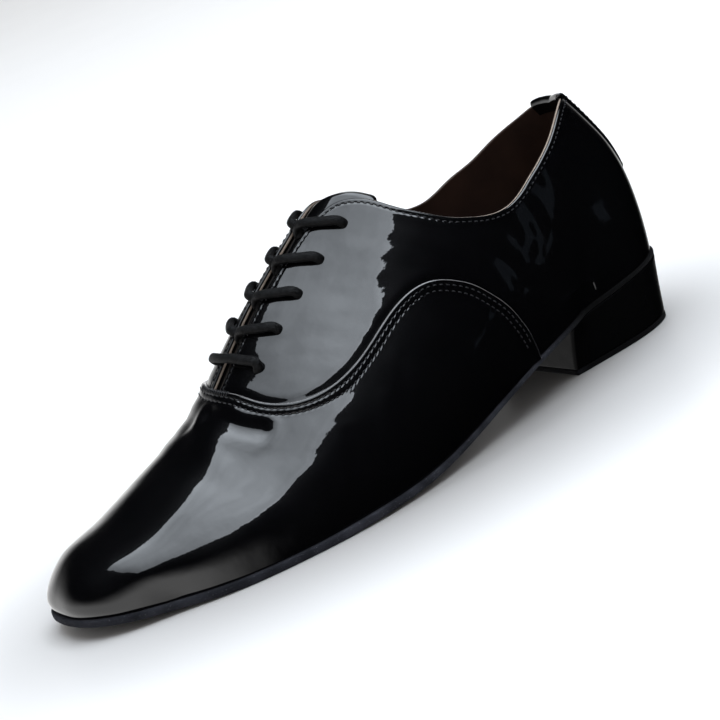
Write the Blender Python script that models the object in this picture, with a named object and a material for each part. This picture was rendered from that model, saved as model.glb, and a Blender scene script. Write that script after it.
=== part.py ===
"""Ballroom dance shoe, left, men's European size 41: closed lacing, patent upper, 25 mm heel.

Metres, +Z up. The last is one function of (s, a): s runs from heel (0) to toe (1), and a from
the lateral feather line (0) over the top (0.5) to the medial feather line (1). Every piece is
worked out from that function. Lines on the last are short tables of (s, a).
"""
import bpy
import bmesh
import numpy as np
from mathutils import Vector

for old in list(bpy.data.objects):
    bpy.data.objects.remove(old, do_unlink=True)

LENGTH = 0.290            # of the last, as the share tables read it
BALL_WIDTH = 0.096
INSTEP_HEIGHT = 0.080
HEEL_HEIGHT = 0.0250
SOLE = 0.0035             # under the ball
TOE_SPRING = 0.007
WALL = 0.0020             # upper, with its lining
LAP = 0.0010              # the vamp stands this much proud of the quarters
GAP = 0.0003              # between pieces that meet
INSOLE = 0.0020
TONGUE = 0.0018
STRAP = 0.0009            # backstay
HOLE_RADIUS = 0.0018      # punched eyelet
LACE_RADIUS = 0.0020
REACH = 0.0023            # of the outsole past the feather line, at the ball
LIFT = 0.0022             # suede top piece under the heel
TONGUE_GAP = 0.0004       # from the upper's lining, which bends over it
SHARP = 0.7               # radians: edges sharper than this are drawn sharp

KNEE = (0.24, 0.62, 0.96)  # heights of a section's control points, as shares

# Sections, heel to toe. Columns: base x, lateral half width, medial half width, top x, top z,
# ridge offset, belly, flank, crown. x in LENGTH, widths and offset in BALL_WIDTH, z in
# INSTEP_HEIGHT; belly, flank and crown are shares of the half width going up.
SECTIONS = np.array([
    (0.175, 0.338, 0.322, 0.004, 0.000, 0.000, 1.00, 0.96, 0.60),
    (0.176, 0.3385, 0.3225, -0.002, 0.260, 0.000, 1.03, 0.98, 0.58),
    (0.180, 0.341, 0.323, 0.006, 0.560, 0.000, 1.05, 0.96, 0.55),
    (0.190, 0.349, 0.324, 0.044, 0.860, 0.000, 1.06, 0.92, 0.52),
    (0.215, 0.380, 0.320, 0.092, 1.115, 0.000, 1.07, 0.88, 0.50),
    (0.265, 0.416, 0.310, 0.180, 1.295, 0.000, 1.09, 0.84, 0.46),
    (0.340, 0.460, 0.290, 0.320, 1.305, -0.010, 1.14, 0.83, 0.36),
    (0.430, 0.513, 0.290, 0.440, 1.180, -0.030, 1.17, 0.80, 0.26),
    (0.520, 0.558, 0.335, 0.540, 1.005, -0.045, 1.12, 0.76, 0.24),
    (0.610, 0.569, 0.395, 0.630, 0.782, -0.045, 1.05, 0.74, 0.28),
    (0.695, 0.540, 0.430, 0.715, 0.556, -0.030, 1.02, 0.76, 0.34),
    (0.770, 0.489, 0.425, 0.800, 0.422, -0.010, 1.01, 0.80, 0.40),
    (0.825, 0.425, 0.402, 0.875, 0.310, 0.000, 1.00, 0.82, 0.43),
    (0.857, 0.372, 0.381, 0.932, 0.232, 0.000, 0.965, 0.81, 0.42),
    (0.8685, 0.354, 0.366, 0.973, 0.085, 0.000, 0.92, 0.78, 0.40),
    (0.872, 0.347, 0.360, 0.973, 0.000, 0.000, 0.90, 0.76, 0.38)])

# Feather line over the ground. Columns: x share, share of HEEL_HEIGHT, share of TOE_SPRING.
RISE = np.array([
    (-0.05, 1.010, 0.00), (0.00, 1.000, 0.00), (0.12, 0.905, 0.00), (0.22, 0.770, 0.00),
    (0.32, 0.547, 0.00), (0.42, 0.282, 0.00), (0.52, 0.085, 0.00), (0.60, 0.032, 0.00),
    (0.68, 0.000, 0.00), (0.78, 0.000, 0.00), (0.86, 0.000, 0.16), (0.94, 0.000, 0.55),
    (1.02, 0.000, 1.10)])

# Outsole. Columns: x share, share of SOLE, share of REACH.
WELT = np.array([
    (-0.05, 0.57, 0.35), (0.15, 0.57, 0.39), (0.25, 0.63, 0.35), (0.42, 0.74, 0.52),
    (0.55, 0.91, 0.83), (0.66, 1.00, 1.00), (0.85, 1.00, 0.96), (1.02, 0.97, 0.87)])
TREAD_START = 0.60        # x share from which the tread lies flat on the ground
TREAD_TOLERANCE = 0.0002

# Vamp's upper edge, lateral half, from the waist to the throat. Columns: s, a.
SEAM = np.array([
    (0.358, 0.000), (0.364, 0.0145), (0.371, 0.030), (0.3785, 0.045), (0.388, 0.064), (0.400, 0.0855),
    (0.413, 0.109), (0.427, 0.130), (0.441, 0.148), (0.457, 0.161), (0.472, 0.167), (0.490, 0.169),
    (0.518, 0.166), (0.549, 0.166), (0.573, 0.175), (0.593, 0.194), (0.609, 0.224), (0.621, 0.270),
    (0.628, 0.340), (0.632, 0.400), (0.634, 0.465)])
SEAM_APEX = 0.40          # share of the seam at which it stands highest

# Facing and topline from the throat to the back seam. Columns: s, a.
LATERAL_EDGE = np.array([
    (0.6325, 0.437), (0.609, 0.432), (0.580, 0.427), (0.547, 0.422), (0.511, 0.418), (0.490, 0.410),
    (0.476, 0.398), (0.466, 0.380), (0.458, 0.358), (0.4515, 0.335), (0.444, 0.306), (0.431, 0.252),
    (0.418, 0.216), (0.402, 0.183), (0.387, 0.163), (0.369, 0.147), (0.347, 0.141), (0.318, 0.156),
    (0.276, 0.202), (0.245, 0.268), (0.222, 0.340), (0.205, 0.420), (0.198, 0.500)])
MEDIAL_EDGE = np.array([
    (0.6325, 0.493), (0.609, 0.498), (0.580, 0.503), (0.553, 0.507), (0.526, 0.512), (0.505, 0.522),
    (0.491, 0.540), (0.480, 0.566), (0.470, 0.598), (0.4615, 0.630), (0.453, 0.664), (0.441, 0.708),
    (0.423, 0.759), (0.404, 0.803), (0.387, 0.830), (0.369, 0.848), (0.345, 0.856), (0.312, 0.842),
    (0.281, 0.822), (0.255, 0.790), (0.230, 0.745), (0.212, 0.690), (0.203, 0.620), (0.1995, 0.560),
    (0.198, 0.500)])
EDGE_KNOTS = (0.46, 0.66, 0.80)  # shares of an edge: facing corner, topline's dip, side of the heel

CENTRE = 0.465            # a of the throat's middle line, which leans to the lateral side
EYELET_A = 0.312
EYELET_S = (0.598, 0.565, 0.532, 0.500, 0.468)
SKEW = 0.008              # the medial facing's eyelets sit this much nearer the toe, in s
LACE_MIDDLE_S = (0.610, 0.586, 0.556, 0.524, 0.492)

# Tongue's upper edge, which leans to the lateral side. Columns: a, s.
TONGUE_TOP = np.array([
    (0.270, 0.452), (0.285, 0.440), (0.310, 0.439), (0.350, 0.446), (0.400, 0.454), (0.465, 0.462),
    (0.530, 0.469), (0.590, 0.478), (0.620, 0.487), (0.635, 0.502)])
TONGUE_FOOT = 0.662       # s of its lower end, under the vamp
TONGUE_MIDDLE = 0.452
TONGUE_HALF = 0.180       # half width in a, at the top

# Heel block's outline at the lift, lateral half. Columns: share of the way from the breast to the
# back, x in LENGTH, y in BALL_WIDTH.
HEEL_FOOT = np.array([
    (0.00, 0.2166, 0.300), (0.16, 0.1759, 0.300), (0.32, 0.1362, 0.298), (0.50, 0.0914, 0.2854),
    (0.68, 0.0500, 0.2417), (0.84, 0.0224, 0.1563), (1.00, 0.0124, 0.000)])
BREAST = 0.219            # front of the heel block, in LENGTH

STRAP_A = 0.125           # backstay's half width in a
STRAP_FOOT = 0.105        # s of its lower end
STRAP_INSIDE = 0.0045     # turned down inside the topline

PATENT = ((0.012, 0.012, 0.013), 0.08)
SATIN = ((0.020, 0.020, 0.021), 0.35)
SUEDE = ((0.050, 0.052, 0.058), 0.95)
LINING = ((0.100, 0.055, 0.030), 0.60)
LACE = ((0.018, 0.018, 0.019), 0.55)


def spline(xs, ys):
    """Natural cubic spline through the rows of ys."""
    xs = np.asarray(xs, float)
    ys = np.asarray(ys, float)
    if ys.ndim == 1:
        ys = ys[:, None]
    count = len(xs)
    step = np.diff(xs)
    matrix = np.eye(count)
    right = np.zeros((count, ys.shape[1]))
    for i in range(1, count - 1):
        matrix[i, i - 1:i + 2] = step[i - 1], 2 * (step[i - 1] + step[i]), step[i]
        right[i] = 6 * ((ys[i + 1] - ys[i]) / step[i] - (ys[i] - ys[i - 1]) / step[i - 1])
    bend = np.linalg.solve(matrix, right)

    def value(x):
        x = np.asarray(x, float)
        i = np.clip(np.searchsorted(xs, x) - 1, 0, count - 2)
        t = (x - xs[i])[..., None]
        h = step[i][..., None]
        slope = (ys[i + 1] - ys[i]) / h - h * (2 * bend[i] + bend[i + 1]) / 6
        return ys[i] + t * (slope + t * (bend[i] / 2 + t * (bend[i + 1] - bend[i]) / (6 * h)))
    return value


KNOTS = np.array([0, 0, 0, 0, 1, 2, 3, 4, 5, 6, 6, 6, 6]) / 6


def basis(a):
    """Cubic B-spline weights of a section's nine control points."""
    a = np.clip(np.asarray(a, float), 0, 1 - 1e-12)
    weights = [((a >= KNOTS[i]) & (a < KNOTS[i + 1])).astype(float) for i in range(12)]
    for degree in range(1, 4):
        raised = []
        for i in range(12 - degree):
            total = np.zeros_like(a)
            if KNOTS[i + degree] > KNOTS[i]:
                total += (a - KNOTS[i]) / (KNOTS[i + degree] - KNOTS[i]) * weights[i]
            if KNOTS[i + degree + 1] > KNOTS[i + 1]:
                span = KNOTS[i + degree + 1] - KNOTS[i + 1]
                total += (KNOTS[i + degree + 1] - a) / span * weights[i + 1]
            raised.append(total)
        weights = raised
    return np.stack(weights, -1)


section_at = spline(np.linspace(0, 1, len(SECTIONS)), SECTIONS)
rise_at = spline(RISE[:, 0] * LENGTH, SOLE + RISE[:, 1] * HEEL_HEIGHT + RISE[:, 2] * TOE_SPRING)
welt_at = spline(WELT[:, 0] * LENGTH, WELT[:, 1:] * [SOLE, REACH])
HEIGHTS = np.array([0, *KNEE, 1, *KNEE[::-1], 0])
TOP_WEIGHT = (basis(0.5) * HEIGHTS).sum()


def rise(x):
    return rise_at(x)[..., 0]


def point(s, a):
    """The last's surface, which is the quarters' outer face."""
    s, a = np.broadcast_arrays(np.asarray(s, float), np.asarray(a, float))
    base, lateral, medial, top_x, top_z, ridge, belly, flank, crown = np.moveaxis(section_at(s), -1, 0)
    lateral = lateral * BALL_WIDTH
    medial = medial * BALL_WIDTH
    ridge = ridge * BALL_WIDTH
    across = np.stack([
        lateral, lateral * belly, lateral * flank + ridge * 0.35, lateral * crown + ridge * 0.8, ridge,
        -medial * crown + ridge * 0.8, -medial * flank + ridge * 0.35, -medial * belly, -medial], -1)
    weights = basis(a)
    up = (weights * HEIGHTS).sum(-1) / TOP_WEIGHT
    x = (base + up * (top_x - base)) * LENGTH
    z = up * top_z * INSTEP_HEIGHT + rise(x)
    return np.stack([x, (weights * across).sum(-1), z], -1)


def normal(s, a):
    """Outward unit normal; the chart's corners borrow it from just inside."""
    small = 2e-4
    s = np.clip(s, 0.004, 0.996)
    a = np.clip(a, 0.004, 0.996)
    along = point(s + small, a) - point(s - small, a)
    over = point(s, a + small) - point(s, a - small)
    n = np.cross(over, along)
    return n / np.linalg.norm(n, axis=-1, keepdims=True)


def lifted(sa, height):
    """Points of the chart, raised off the last by height."""
    sa = np.asarray(sa, float)
    height = np.asarray(height, float)[..., None]
    return point(sa[..., 0], sa[..., 1]) + normal(sa[..., 0], sa[..., 1]) * height


def smooth(x):
    x = np.clip(x, 0, 1)
    return x * x * (3 - 2 * x)


def mirror(sa):
    """A line's partner on the medial side, about the throat's leaning middle line."""
    sa = np.array(sa, float)
    lean = (1 - 2 * CENTRE) * smooth(sa[..., 1] / 0.30) * smooth((sa[..., 0] - 0.20) / 0.10)
    sa[..., 1] = 1 - sa[..., 1] - lean
    return sa


def lengths(line):
    """Running length along a line of points."""
    steps = np.linalg.norm(np.diff(line, axis=0), axis=1)
    return np.concatenate([[0], np.cumsum(steps)])


def path(table):
    """Smooth line through a table's rows: a function of the share of its length."""
    along = lengths(point(table[:, 0], table[:, 1]))
    curve = spline(along / along[-1], table)
    fine = np.linspace(0, 1, 1200)
    dots = curve(fine)
    run = lengths(point(dots[:, 0], dots[:, 1]))
    return lambda share: curve(np.interp(share, run / run[-1], fine))


def evenly(corners, count):
    """count + 1 points at even spacing on the last, along a polyline of the chart."""
    corners = np.asarray(corners, float)
    place = np.linspace(0, len(corners) - 1, 120 * (len(corners) - 1) + 1)
    knots = np.arange(len(corners))
    dots = np.stack([np.interp(place, knots, corners[:, 0]), np.interp(place, knots, corners[:, 1])], -1)
    run = lengths(point(dots[:, 0], dots[:, 1]))
    where = np.interp(np.linspace(0, 1, count + 1), run / run[-1], place)
    return np.stack([np.interp(where, knots, corners[:, 0]), np.interp(where, knots, corners[:, 1])], -1)


class Skin:
    """Grids of vertices and the faces between them, made into one closed mesh."""

    def __init__(self):
        self.vertices = []
        self.faces = []

    def points(self, dots):
        """Adds an array of points and returns their numbers in the same layout."""
        first = len(self.vertices)
        self.vertices += np.reshape(dots, (-1, 3)).tolist()
        return first + np.arange(len(self.vertices) - first).reshape(np.shape(dots)[:-1])

    def grid(self, dots):
        numbers = self.points(dots)
        self.fill(numbers)
        return numbers

    def fill(self, n):
        for i in range(n.shape[0] - 1):
            for j in range(n.shape[1] - 1):
                self.faces.append([n[i, j], n[i + 1, j], n[i + 1, j + 1], n[i, j + 1]])

    def band(self, one, other):
        """Faces between two rows of the same count."""
        self.fill(np.stack([one, other]))

    def rim(self, one, other):
        """Closes the four sides between two grids of the same size."""
        for side in ((slice(None), 0), (slice(None), -1), (0, slice(None)), (-1, slice(None))):
            self.band(one[side], other[side])

    def mesh(self, name):
        bm = bmesh.new()
        verts = [bm.verts.new(v) for v in self.vertices]
        for face in self.faces:
            corners = list(dict.fromkeys(verts[i] for i in face))
            if len(corners) > 2:
                bm.faces.new(corners)
        bmesh.ops.delete(bm, geom=[v for v in bm.verts if not v.link_faces], context="VERTS")
        clean(bm)
        bmesh.ops.recalc_face_normals(bm, faces=bm.faces)
        mesh = bpy.data.meshes.new(name)
        bm.to_mesh(mesh)
        bm.free()
        return mesh


def clean(bm):
    """Welds what meets, drops slivers and leaves triangles."""
    bmesh.ops.remove_doubles(bm, verts=bm.verts, dist=2e-6)
    bmesh.ops.dissolve_degenerate(bm, dist=1e-6, edges=bm.edges)
    bmesh.ops.triangulate(bm, faces=bm.faces)


def loft(rings, columns):
    """Closed solid from rings, top to bottom; a ring is a pair of lines, left and right."""
    skin = Skin()
    share = np.linspace(0, 1, columns + 1)[:, None]
    grids = []
    for i, (left, right) in enumerate(rings):
        dots = left[:, None] * (1 - share) + right[:, None] * share
        add = skin.grid if i in (0, len(rings) - 1) else skin.points
        grids.append(add(dots))
    for upper_grid, lower_grid in zip(grids[:-1], grids[1:]):
        skin.rim(upper_grid, lower_grid)
    return skin


# Lines on the last that the upper's two skins share
N_WING = 14               # from the waist up to the seam's apex
N_FRONT = 16              # from the apex to the throat
N_BRIDGE = 2              # across the throat
N_WAIST = 10              # feather line from the waist to the heel's corner
N_HEEL = 16               # from there to the back seam
N_TOE = 12
ROWS = 8

seam_at = path(SEAM)
fine_share = np.linspace(SEAM_APEX, 1, 400)
throat_share = fine_share[np.abs(seam_at(fine_share)[:, 1] - LATERAL_EDGE[0, 1]).argmin()]
seam_share = np.concatenate([
    np.linspace(0, SEAM_APEX, N_WING, endpoint=False),
    np.linspace(SEAM_APEX, throat_share, N_FRONT + 1)])
lateral_seam = seam_at(seam_share)
medial_seam = mirror(lateral_seam)
bridge = np.linspace(lateral_seam[-1], medial_seam[-1], N_BRIDGE + 1)
seam = np.concatenate([lateral_seam, bridge[1:-1], medial_seam[::-1]])
LATERAL_EDGE[0] = lateral_seam[-1]
MEDIAL_EDGE[0] = medial_seam[-1]

corner_share, dip_share, side_share = EDGE_KNOTS
edge_share = np.concatenate([
    np.linspace(0, corner_share, N_FRONT, endpoint=False),
    np.linspace(corner_share, dip_share, N_WING, endpoint=False),
    np.linspace(dip_share, side_share, N_WAIST, endpoint=False),
    np.linspace(side_share, 1, N_HEEL + 1)])
quarter_top = np.concatenate([path(LATERAL_EDGE)(edge_share), path(MEDIAL_EDGE)(edge_share)[::-1][1:]])

WAIST = (lateral_seam[0, 0], 0)
lateral_low = np.concatenate([
    lateral_seam[::-1][:-1], evenly([WAIST, (0, 0)], N_WAIST)[:-1], evenly([(0, 0), (0, 0.5)], N_HEEL)])
quarter_low = np.concatenate([lateral_low, mirror(lateral_low)[::-1][1:]])

BALL = (0.70, 0)
TOE_CORNER = (1, 0)
TOE_TIP = (1, 0.5)
vamp_half = np.concatenate([
    evenly([WAIST, BALL], N_WING + 4)[:-1], evenly([BALL, TOE_CORNER, TOE_TIP], N_TOE + 1)])
vamp_low = np.concatenate([vamp_half, (vamp_half * [1, -1] + [0, 1])[::-1][1:]])


def between(low, top):
    share = np.linspace(0, 1, ROWS + 1)[:, None]
    return low[:, None] * (1 - share) + top[:, None] * share


def upper_skin():
    """One hollow solid: vamp and quarters share the inner face, and the vamp steps out."""
    skin = Skin()
    sides = len(lateral_seam)
    first = sides - 1
    last = len(quarter_low) - sides

    def sheet(chart, height, lasted):
        dots = lifted(chart, np.full(chart.shape[:2], height))
        dots[lasted, 0, 2] = rise(dots[lasted, 0, 0]) + GAP / 2
        return dots

    def vamp(height):
        dots = sheet(between(vamp_low, seam), height, slice(None))
        dots[0] = dots[0, 0]
        dots[-1] = dots[-1, 0]
        return skin.grid(dots)

    def quarters(height):
        return skin.grid(sheet(between(quarter_low, quarter_top), height, slice(first, last + 1)))

    vamp_out, vamp_in = vamp(LAP), vamp(-WALL)
    quarter_out, quarter_in = quarters(0.0), quarters(-WALL)
    skin.band(vamp_out[:, 0], vamp_in[:, 0])
    skin.band(quarter_out[first:last + 1, 0], quarter_in[first:last + 1, 0])
    skin.band(quarter_out[:, -1], quarter_in[:, -1])
    skin.band(vamp_out[:sides, -1], quarter_out[:sides, 0][::-1])
    skin.band(vamp_out[-sides:, -1], quarter_out[-sides:, 0][::-1])
    throat = slice(sides - 1, sides + N_BRIDGE)
    skin.band(vamp_out[throat, -1], vamp_in[throat, -1])
    for v, q in ((0, first), (sides - 1, 0), (-sides, -1), (-1, last)):
        skin.faces.append([vamp_out[v, -1], quarter_out[q, 0], vamp_in[v, -1]])
    return skin


def outline(count, past_feather=0.0, with_welt=True):
    """Lateral and medial halves of the feather line in plan, back seam to toe, moved outward."""
    lateral = evenly([(0, 0.5), (0, 0), TOE_CORNER, TOE_TIP], count)
    medial = lateral * [1, -1] + [0, 1]
    loop = np.concatenate([lateral, medial[::-1][1:-1]])
    dots = point(loop[:, 0], loop[:, 1])
    way = np.roll(dots, -1, 0) - np.roll(dots, 1, 0)
    for _ in range(2):
        way = way + (np.roll(way, 1, 0) + np.roll(way, -1, 0)) / 2
    out = np.stack([way[:, 1], -way[:, 0]], -1)
    out /= np.linalg.norm(out, axis=1, keepdims=True)
    if (out * (dots[:, :2] - [LENGTH / 2, 0])).sum() < 0:
        out = -out
    reach = past_feather + welt_at(dots[:, 0])[:, 1] * with_welt
    plan = dots[:, :2] + out * reach[:, None]
    return plan[:count + 1], np.concatenate([plan[:1], plan[count:][::-1]])


def at_height(plan, z):
    return np.concatenate([plan, np.broadcast_to(z, len(plan))[:, None]], 1)


def sole_top(x):
    return rise(x) - GAP


def sole_bottom(x):
    """Follows the arch and the toe spring, and lies flat on the ground under the ball."""
    z = np.maximum(rise(x) - welt_at(x)[:, 0], 0)
    return np.where((x > TREAD_START * LENGTH) & (z < TREAD_TOLERANCE), 0.0, z)


def outsole_skin():
    rounding = -0.0004
    wide = outline(52)
    narrow = outline(52, rounding)
    top = tuple(at_height(side, sole_top(side[:, 0])) for side in narrow)
    middle = tuple(at_height(side, (sole_top(side[:, 0]) + sole_bottom(side[:, 0])) / 2) for side in wide)
    bottom = tuple(at_height(side, sole_bottom(side[:, 0])) for side in narrow)
    return loft([top, middle, bottom], 4)


def insole_skin():
    halves = outline(34, -(WALL + 2 * GAP), with_welt=False)
    top = tuple(at_height(side, rise(side[:, 0]) + INSOLE) for side in halves)
    bottom = tuple(at_height(side, rise(side[:, 0])) for side in halves)
    return loft([top, bottom], 4)


def heel_plans(count=22):
    """Seat and foot outlines of the heel block, each half from the breast to the back."""
    foot_at = spline(HEEL_FOOT[:, 0], HEEL_FOOT[:, 1:])
    plans = []
    for half, side in zip(outline(160), (1, -1)):
        front = int(np.argmax(half[:, 0] >= BREAST * LENGTH))
        share = (BREAST * LENGTH - half[front - 1, 0]) / (half[front, 0] - half[front - 1, 0])
        corner = half[front - 1] * (1 - share) + half[front] * share
        seat = np.concatenate([half[:front], [corner]])[::-1]
        run = lengths(seat)
        where = np.linspace(0, run[-1], count + 1)
        seat = np.stack([np.interp(where, run, seat[:, 0]), np.interp(where, run, seat[:, 1])], -1)
        foot = foot_at(np.linspace(0, 1, count + 1)) * [LENGTH, side * BALL_WIDTH]
        plans.append((seat, foot))
    return plans


def heel_skins():
    plans = heel_plans()

    def ring(down):
        """down runs from 0 at the seat to 1 at the lift; the sides are slightly hollow."""
        inward = down ** 0.85
        sides = []
        for seat, foot in plans:
            z = (sole_bottom(seat[:, 0]) - GAP) * (1 - down) + LIFT * down
            sides.append(at_height(seat * (1 - inward) + foot * inward, z))
        return tuple(sides)

    feet = [foot for seat, foot in plans]
    block = loft([ring(down) for down in (0, 0.3, 0.65, 1)], 5)
    lift = loft([[at_height(foot, LIFT) for foot in feet], [at_height(foot, 0.0) for foot in feet]], 2)
    return block, lift


def tongue_skin(rows=13, columns=8):
    down = np.linspace(0, 1, rows + 1)[:, None]
    across = np.linspace(-1, 1, columns + 1)
    half = TONGUE_HALF - 0.065 * smooth((down - 0.35) / 0.65)
    a = TONGUE_MIDDLE + (CENTRE - TONGUE_MIDDLE) * down + across * half
    s_top = spline(TONGUE_TOP[:, 0], TONGUE_TOP[:, 1])(TONGUE_MIDDLE + across * TONGUE_HALF)[:, 0]
    chart = np.stack([s_top + (TONGUE_FOOT - s_top) * down, a], -1)
    depth = WALL + TONGUE_GAP
    skin = Skin()
    outer = skin.grid(lifted(chart, np.full(chart.shape[:2], -depth)))
    inner = skin.grid(lifted(chart, np.full(chart.shape[:2], -depth - TONGUE)))
    skin.rim(outer, inner)
    return skin


def backstay_skin(columns=12, rows=9):
    """Short strap up the back seam, over the topline and a little way down inside."""
    skin = Skin()
    faces = ([], [])
    for across in np.linspace(-1, 1, columns + 1):
        edge = LATERAL_EDGE if across <= 0 else MEDIAL_EDGE
        tail = edge[-6:]
        tail = tail[np.argsort(tail[:, 1])]
        a = 0.5 + across * STRAP_A
        chart = np.linspace((np.interp(a, tail[:, 1], tail[:, 0]), a), (STRAP_FOOT, a), 200)
        dots = point(chart[:, 0], chart[:, 1])
        run = lengths(dots)
        down = (dots[6] - dots[0]) / run[6]

        def place(depth, height):
            if depth < 0:
                return lifted(chart[0], height) + down * depth
            share = np.interp(depth, run, np.linspace(0, 1, len(run)))
            return lifted(chart[0] * (1 - share) + chart[-1] * share, height)

        for face, out in zip(faces, (GAP, GAP + STRAP)):
            bent = GAP + 0.8 * (out - GAP)
            outside = [place(depth, out) for depth in np.linspace(run[-1], 0.0015, rows)]
            fold = [place(-bent, bent), place(-bent, -WALL - bent)]
            inside = [place(depth, -WALL - out) for depth in (STRAP_INSIDE / 2, STRAP_INSIDE)]
            face.append(outside + fold + inside)
    near, far = (skin.grid(np.array(face)) for face in faces)
    skin.rim(near, far)
    return skin


def lace_bar(row, steps=10):
    """A bar or a V of the lace, lying over both facings."""
    across = np.linspace(-1, 1, steps + 1)
    medial_a = mirror([0.55, EYELET_A])[1]
    dip = 1 - np.abs(across) ** 1.3
    end_s = EYELET_S[row] + SKEW * (across > 0)
    s = end_s + (LACE_MIDDLE_S[row] - end_s) * dip
    a = CENTRE + across * np.where(across < 0, CENTRE - EYELET_A, medial_a - CENTRE)
    line = lifted(np.stack([s, a], -1), np.full(len(a), LACE_RADIUS + 2 * GAP))
    name = f"lace_bar_{row + 1}"
    curve = bpy.data.curves.new(name, "CURVE")
    curve.dimensions = "3D"
    curve.bevel_depth = LACE_RADIUS
    curve.bevel_resolution = 2
    curve.use_fill_caps = True
    strand = curve.splines.new("POLY")
    strand.points.add(steps)
    for dot, place in zip(strand.points, line):
        dot.co = (*place, 1)
    return finished(bpy.data.objects.new(name, curve), LACE)


shoe = bpy.data.collections.new("ballroom_dance_shoe")
cutters = bpy.data.collections.new("cutters")
for collection in (shoe, cutters):
    bpy.context.scene.collection.children.link(collection)


def material(name, finish):
    colour, roughness = finish
    made = bpy.data.materials.new(name)
    made.use_nodes = True
    shader = made.node_tree.nodes["Principled BSDF"]
    shader.inputs["Base Color"].default_value = (*colour, 1)
    shader.inputs["Roughness"].default_value = roughness
    shader.inputs["Metallic"].default_value = 0.0
    return made


def finished(made, finish):
    made.data.materials.append(material(made.name + "_finish", finish))
    shoe.objects.link(made)
    return made


def piece(name, skin, finish):
    return finished(bpy.data.objects.new(name, skin.mesh(name)), finish)


def eyelet_cutters():
    """A short cylinder through the wall at each punched eyelet, both facings."""
    made = []
    for s in EYELET_S:
        for chart in ((s, EYELET_A), mirror([s + SKEW, EYELET_A])):
            mesh = bpy.data.meshes.new("eyelet_cutter")
            bm = bmesh.new()
            bmesh.ops.create_cone(
                bm, cap_ends=True, segments=10, radius1=HOLE_RADIUS, radius2=HOLE_RADIUS, depth=0.009)
            bm.to_mesh(mesh)
            bm.free()
            cutter = bpy.data.objects.new("eyelet_cutter", mesh)
            cutter.rotation_mode = "QUATERNION"
            cutter.rotation_quaternion = Vector(normal(*chart)).to_track_quat("Z", "Y")
            cutter.location = lifted(np.array(chart), -WALL / 2)
            cutter.hide_render = True
            cutter.display_type = "WIRE"
            cutters.objects.link(cutter)
            made.append(cutter)
    return made


def punch(target, tools):
    """Cuts the eyelets and leaves the result as the target's own mesh."""
    for tool in tools:
        cut = target.modifiers.new("eyelet", "BOOLEAN")
        cut.operation = "DIFFERENCE"
        cut.object = tool
    bpy.context.view_layer.update()
    seen = target.evaluated_get(bpy.context.evaluated_depsgraph_get())
    mesh = bpy.data.meshes.new_from_object(seen)
    target.modifiers.clear()
    target.data = mesh
    bm = bmesh.new()
    bm.from_mesh(mesh)
    clean(bm)
    bm.to_mesh(mesh)
    bm.free()


def centre_on_frame(pieces):
    """Moves everything so that the origin is the bottom centre of the bounding box."""
    corners = np.array([v.co for made in pieces for v in made.data.vertices])
    middle = (corners.min(0) + corners.max(0)) / 2
    for made in [*shoe.objects, *cutters.objects]:
        made.location -= Vector((middle[0], middle[1], 0))
    print("middle", middle.round(6).tolist(), "size", np.ptp(corners, axis=0).round(5).tolist())


def build():
    block, lift = heel_skins()
    pieces = [
        piece("upper", upper_skin(), PATENT),
        piece("outsole", outsole_skin(), SUEDE),
        piece("heel_block", block, SATIN),
        piece("heel_lift", lift, SUEDE),
        piece("insole", insole_skin(), LINING),
        piece("tongue", tongue_skin(), PATENT),
        piece("backstay", backstay_skin(), PATENT)]
    for row in range(len(EYELET_S)):
        lace_bar(row)
    punch(pieces[0], eyelet_cutters())
    for made in pieces:
        made.data.shade_smooth()
        made.data.set_sharp_from_angle(angle=SHARP)
    centre_on_frame(pieces)


build()
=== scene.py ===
"""Looks of the ballroom dance shoe: black patent leather, woven lace, suede sole, satin heel.

The last is the same function of (s, a) as in the CAD source: s runs from heel (0) to toe (1), and a
from the lateral feather line (0) over the top (0.5) to the medial feather line (1). Heights are
metres off the last, along its normal. Everything is worked out in metres.
"""
import bpy
import bmesh
import numpy as np
from mathutils import Matrix, Vector

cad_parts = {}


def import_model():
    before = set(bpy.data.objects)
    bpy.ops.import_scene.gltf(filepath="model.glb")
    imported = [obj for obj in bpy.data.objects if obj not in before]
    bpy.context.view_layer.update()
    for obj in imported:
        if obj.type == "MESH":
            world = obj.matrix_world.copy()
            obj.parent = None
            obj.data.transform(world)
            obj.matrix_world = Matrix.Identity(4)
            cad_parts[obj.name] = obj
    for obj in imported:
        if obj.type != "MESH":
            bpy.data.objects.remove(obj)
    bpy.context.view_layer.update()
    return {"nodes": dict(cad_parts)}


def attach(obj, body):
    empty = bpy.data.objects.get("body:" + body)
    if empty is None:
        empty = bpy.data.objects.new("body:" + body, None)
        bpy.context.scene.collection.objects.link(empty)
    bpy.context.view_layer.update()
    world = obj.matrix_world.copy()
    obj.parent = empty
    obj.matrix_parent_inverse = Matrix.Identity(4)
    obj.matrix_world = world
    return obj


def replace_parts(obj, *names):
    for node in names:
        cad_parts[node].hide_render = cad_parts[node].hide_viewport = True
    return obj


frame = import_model()

MIDDLE = np.array([0.141398, 0.006511, 0.0])   # the last's own coordinates, less these, are the frame's

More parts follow.
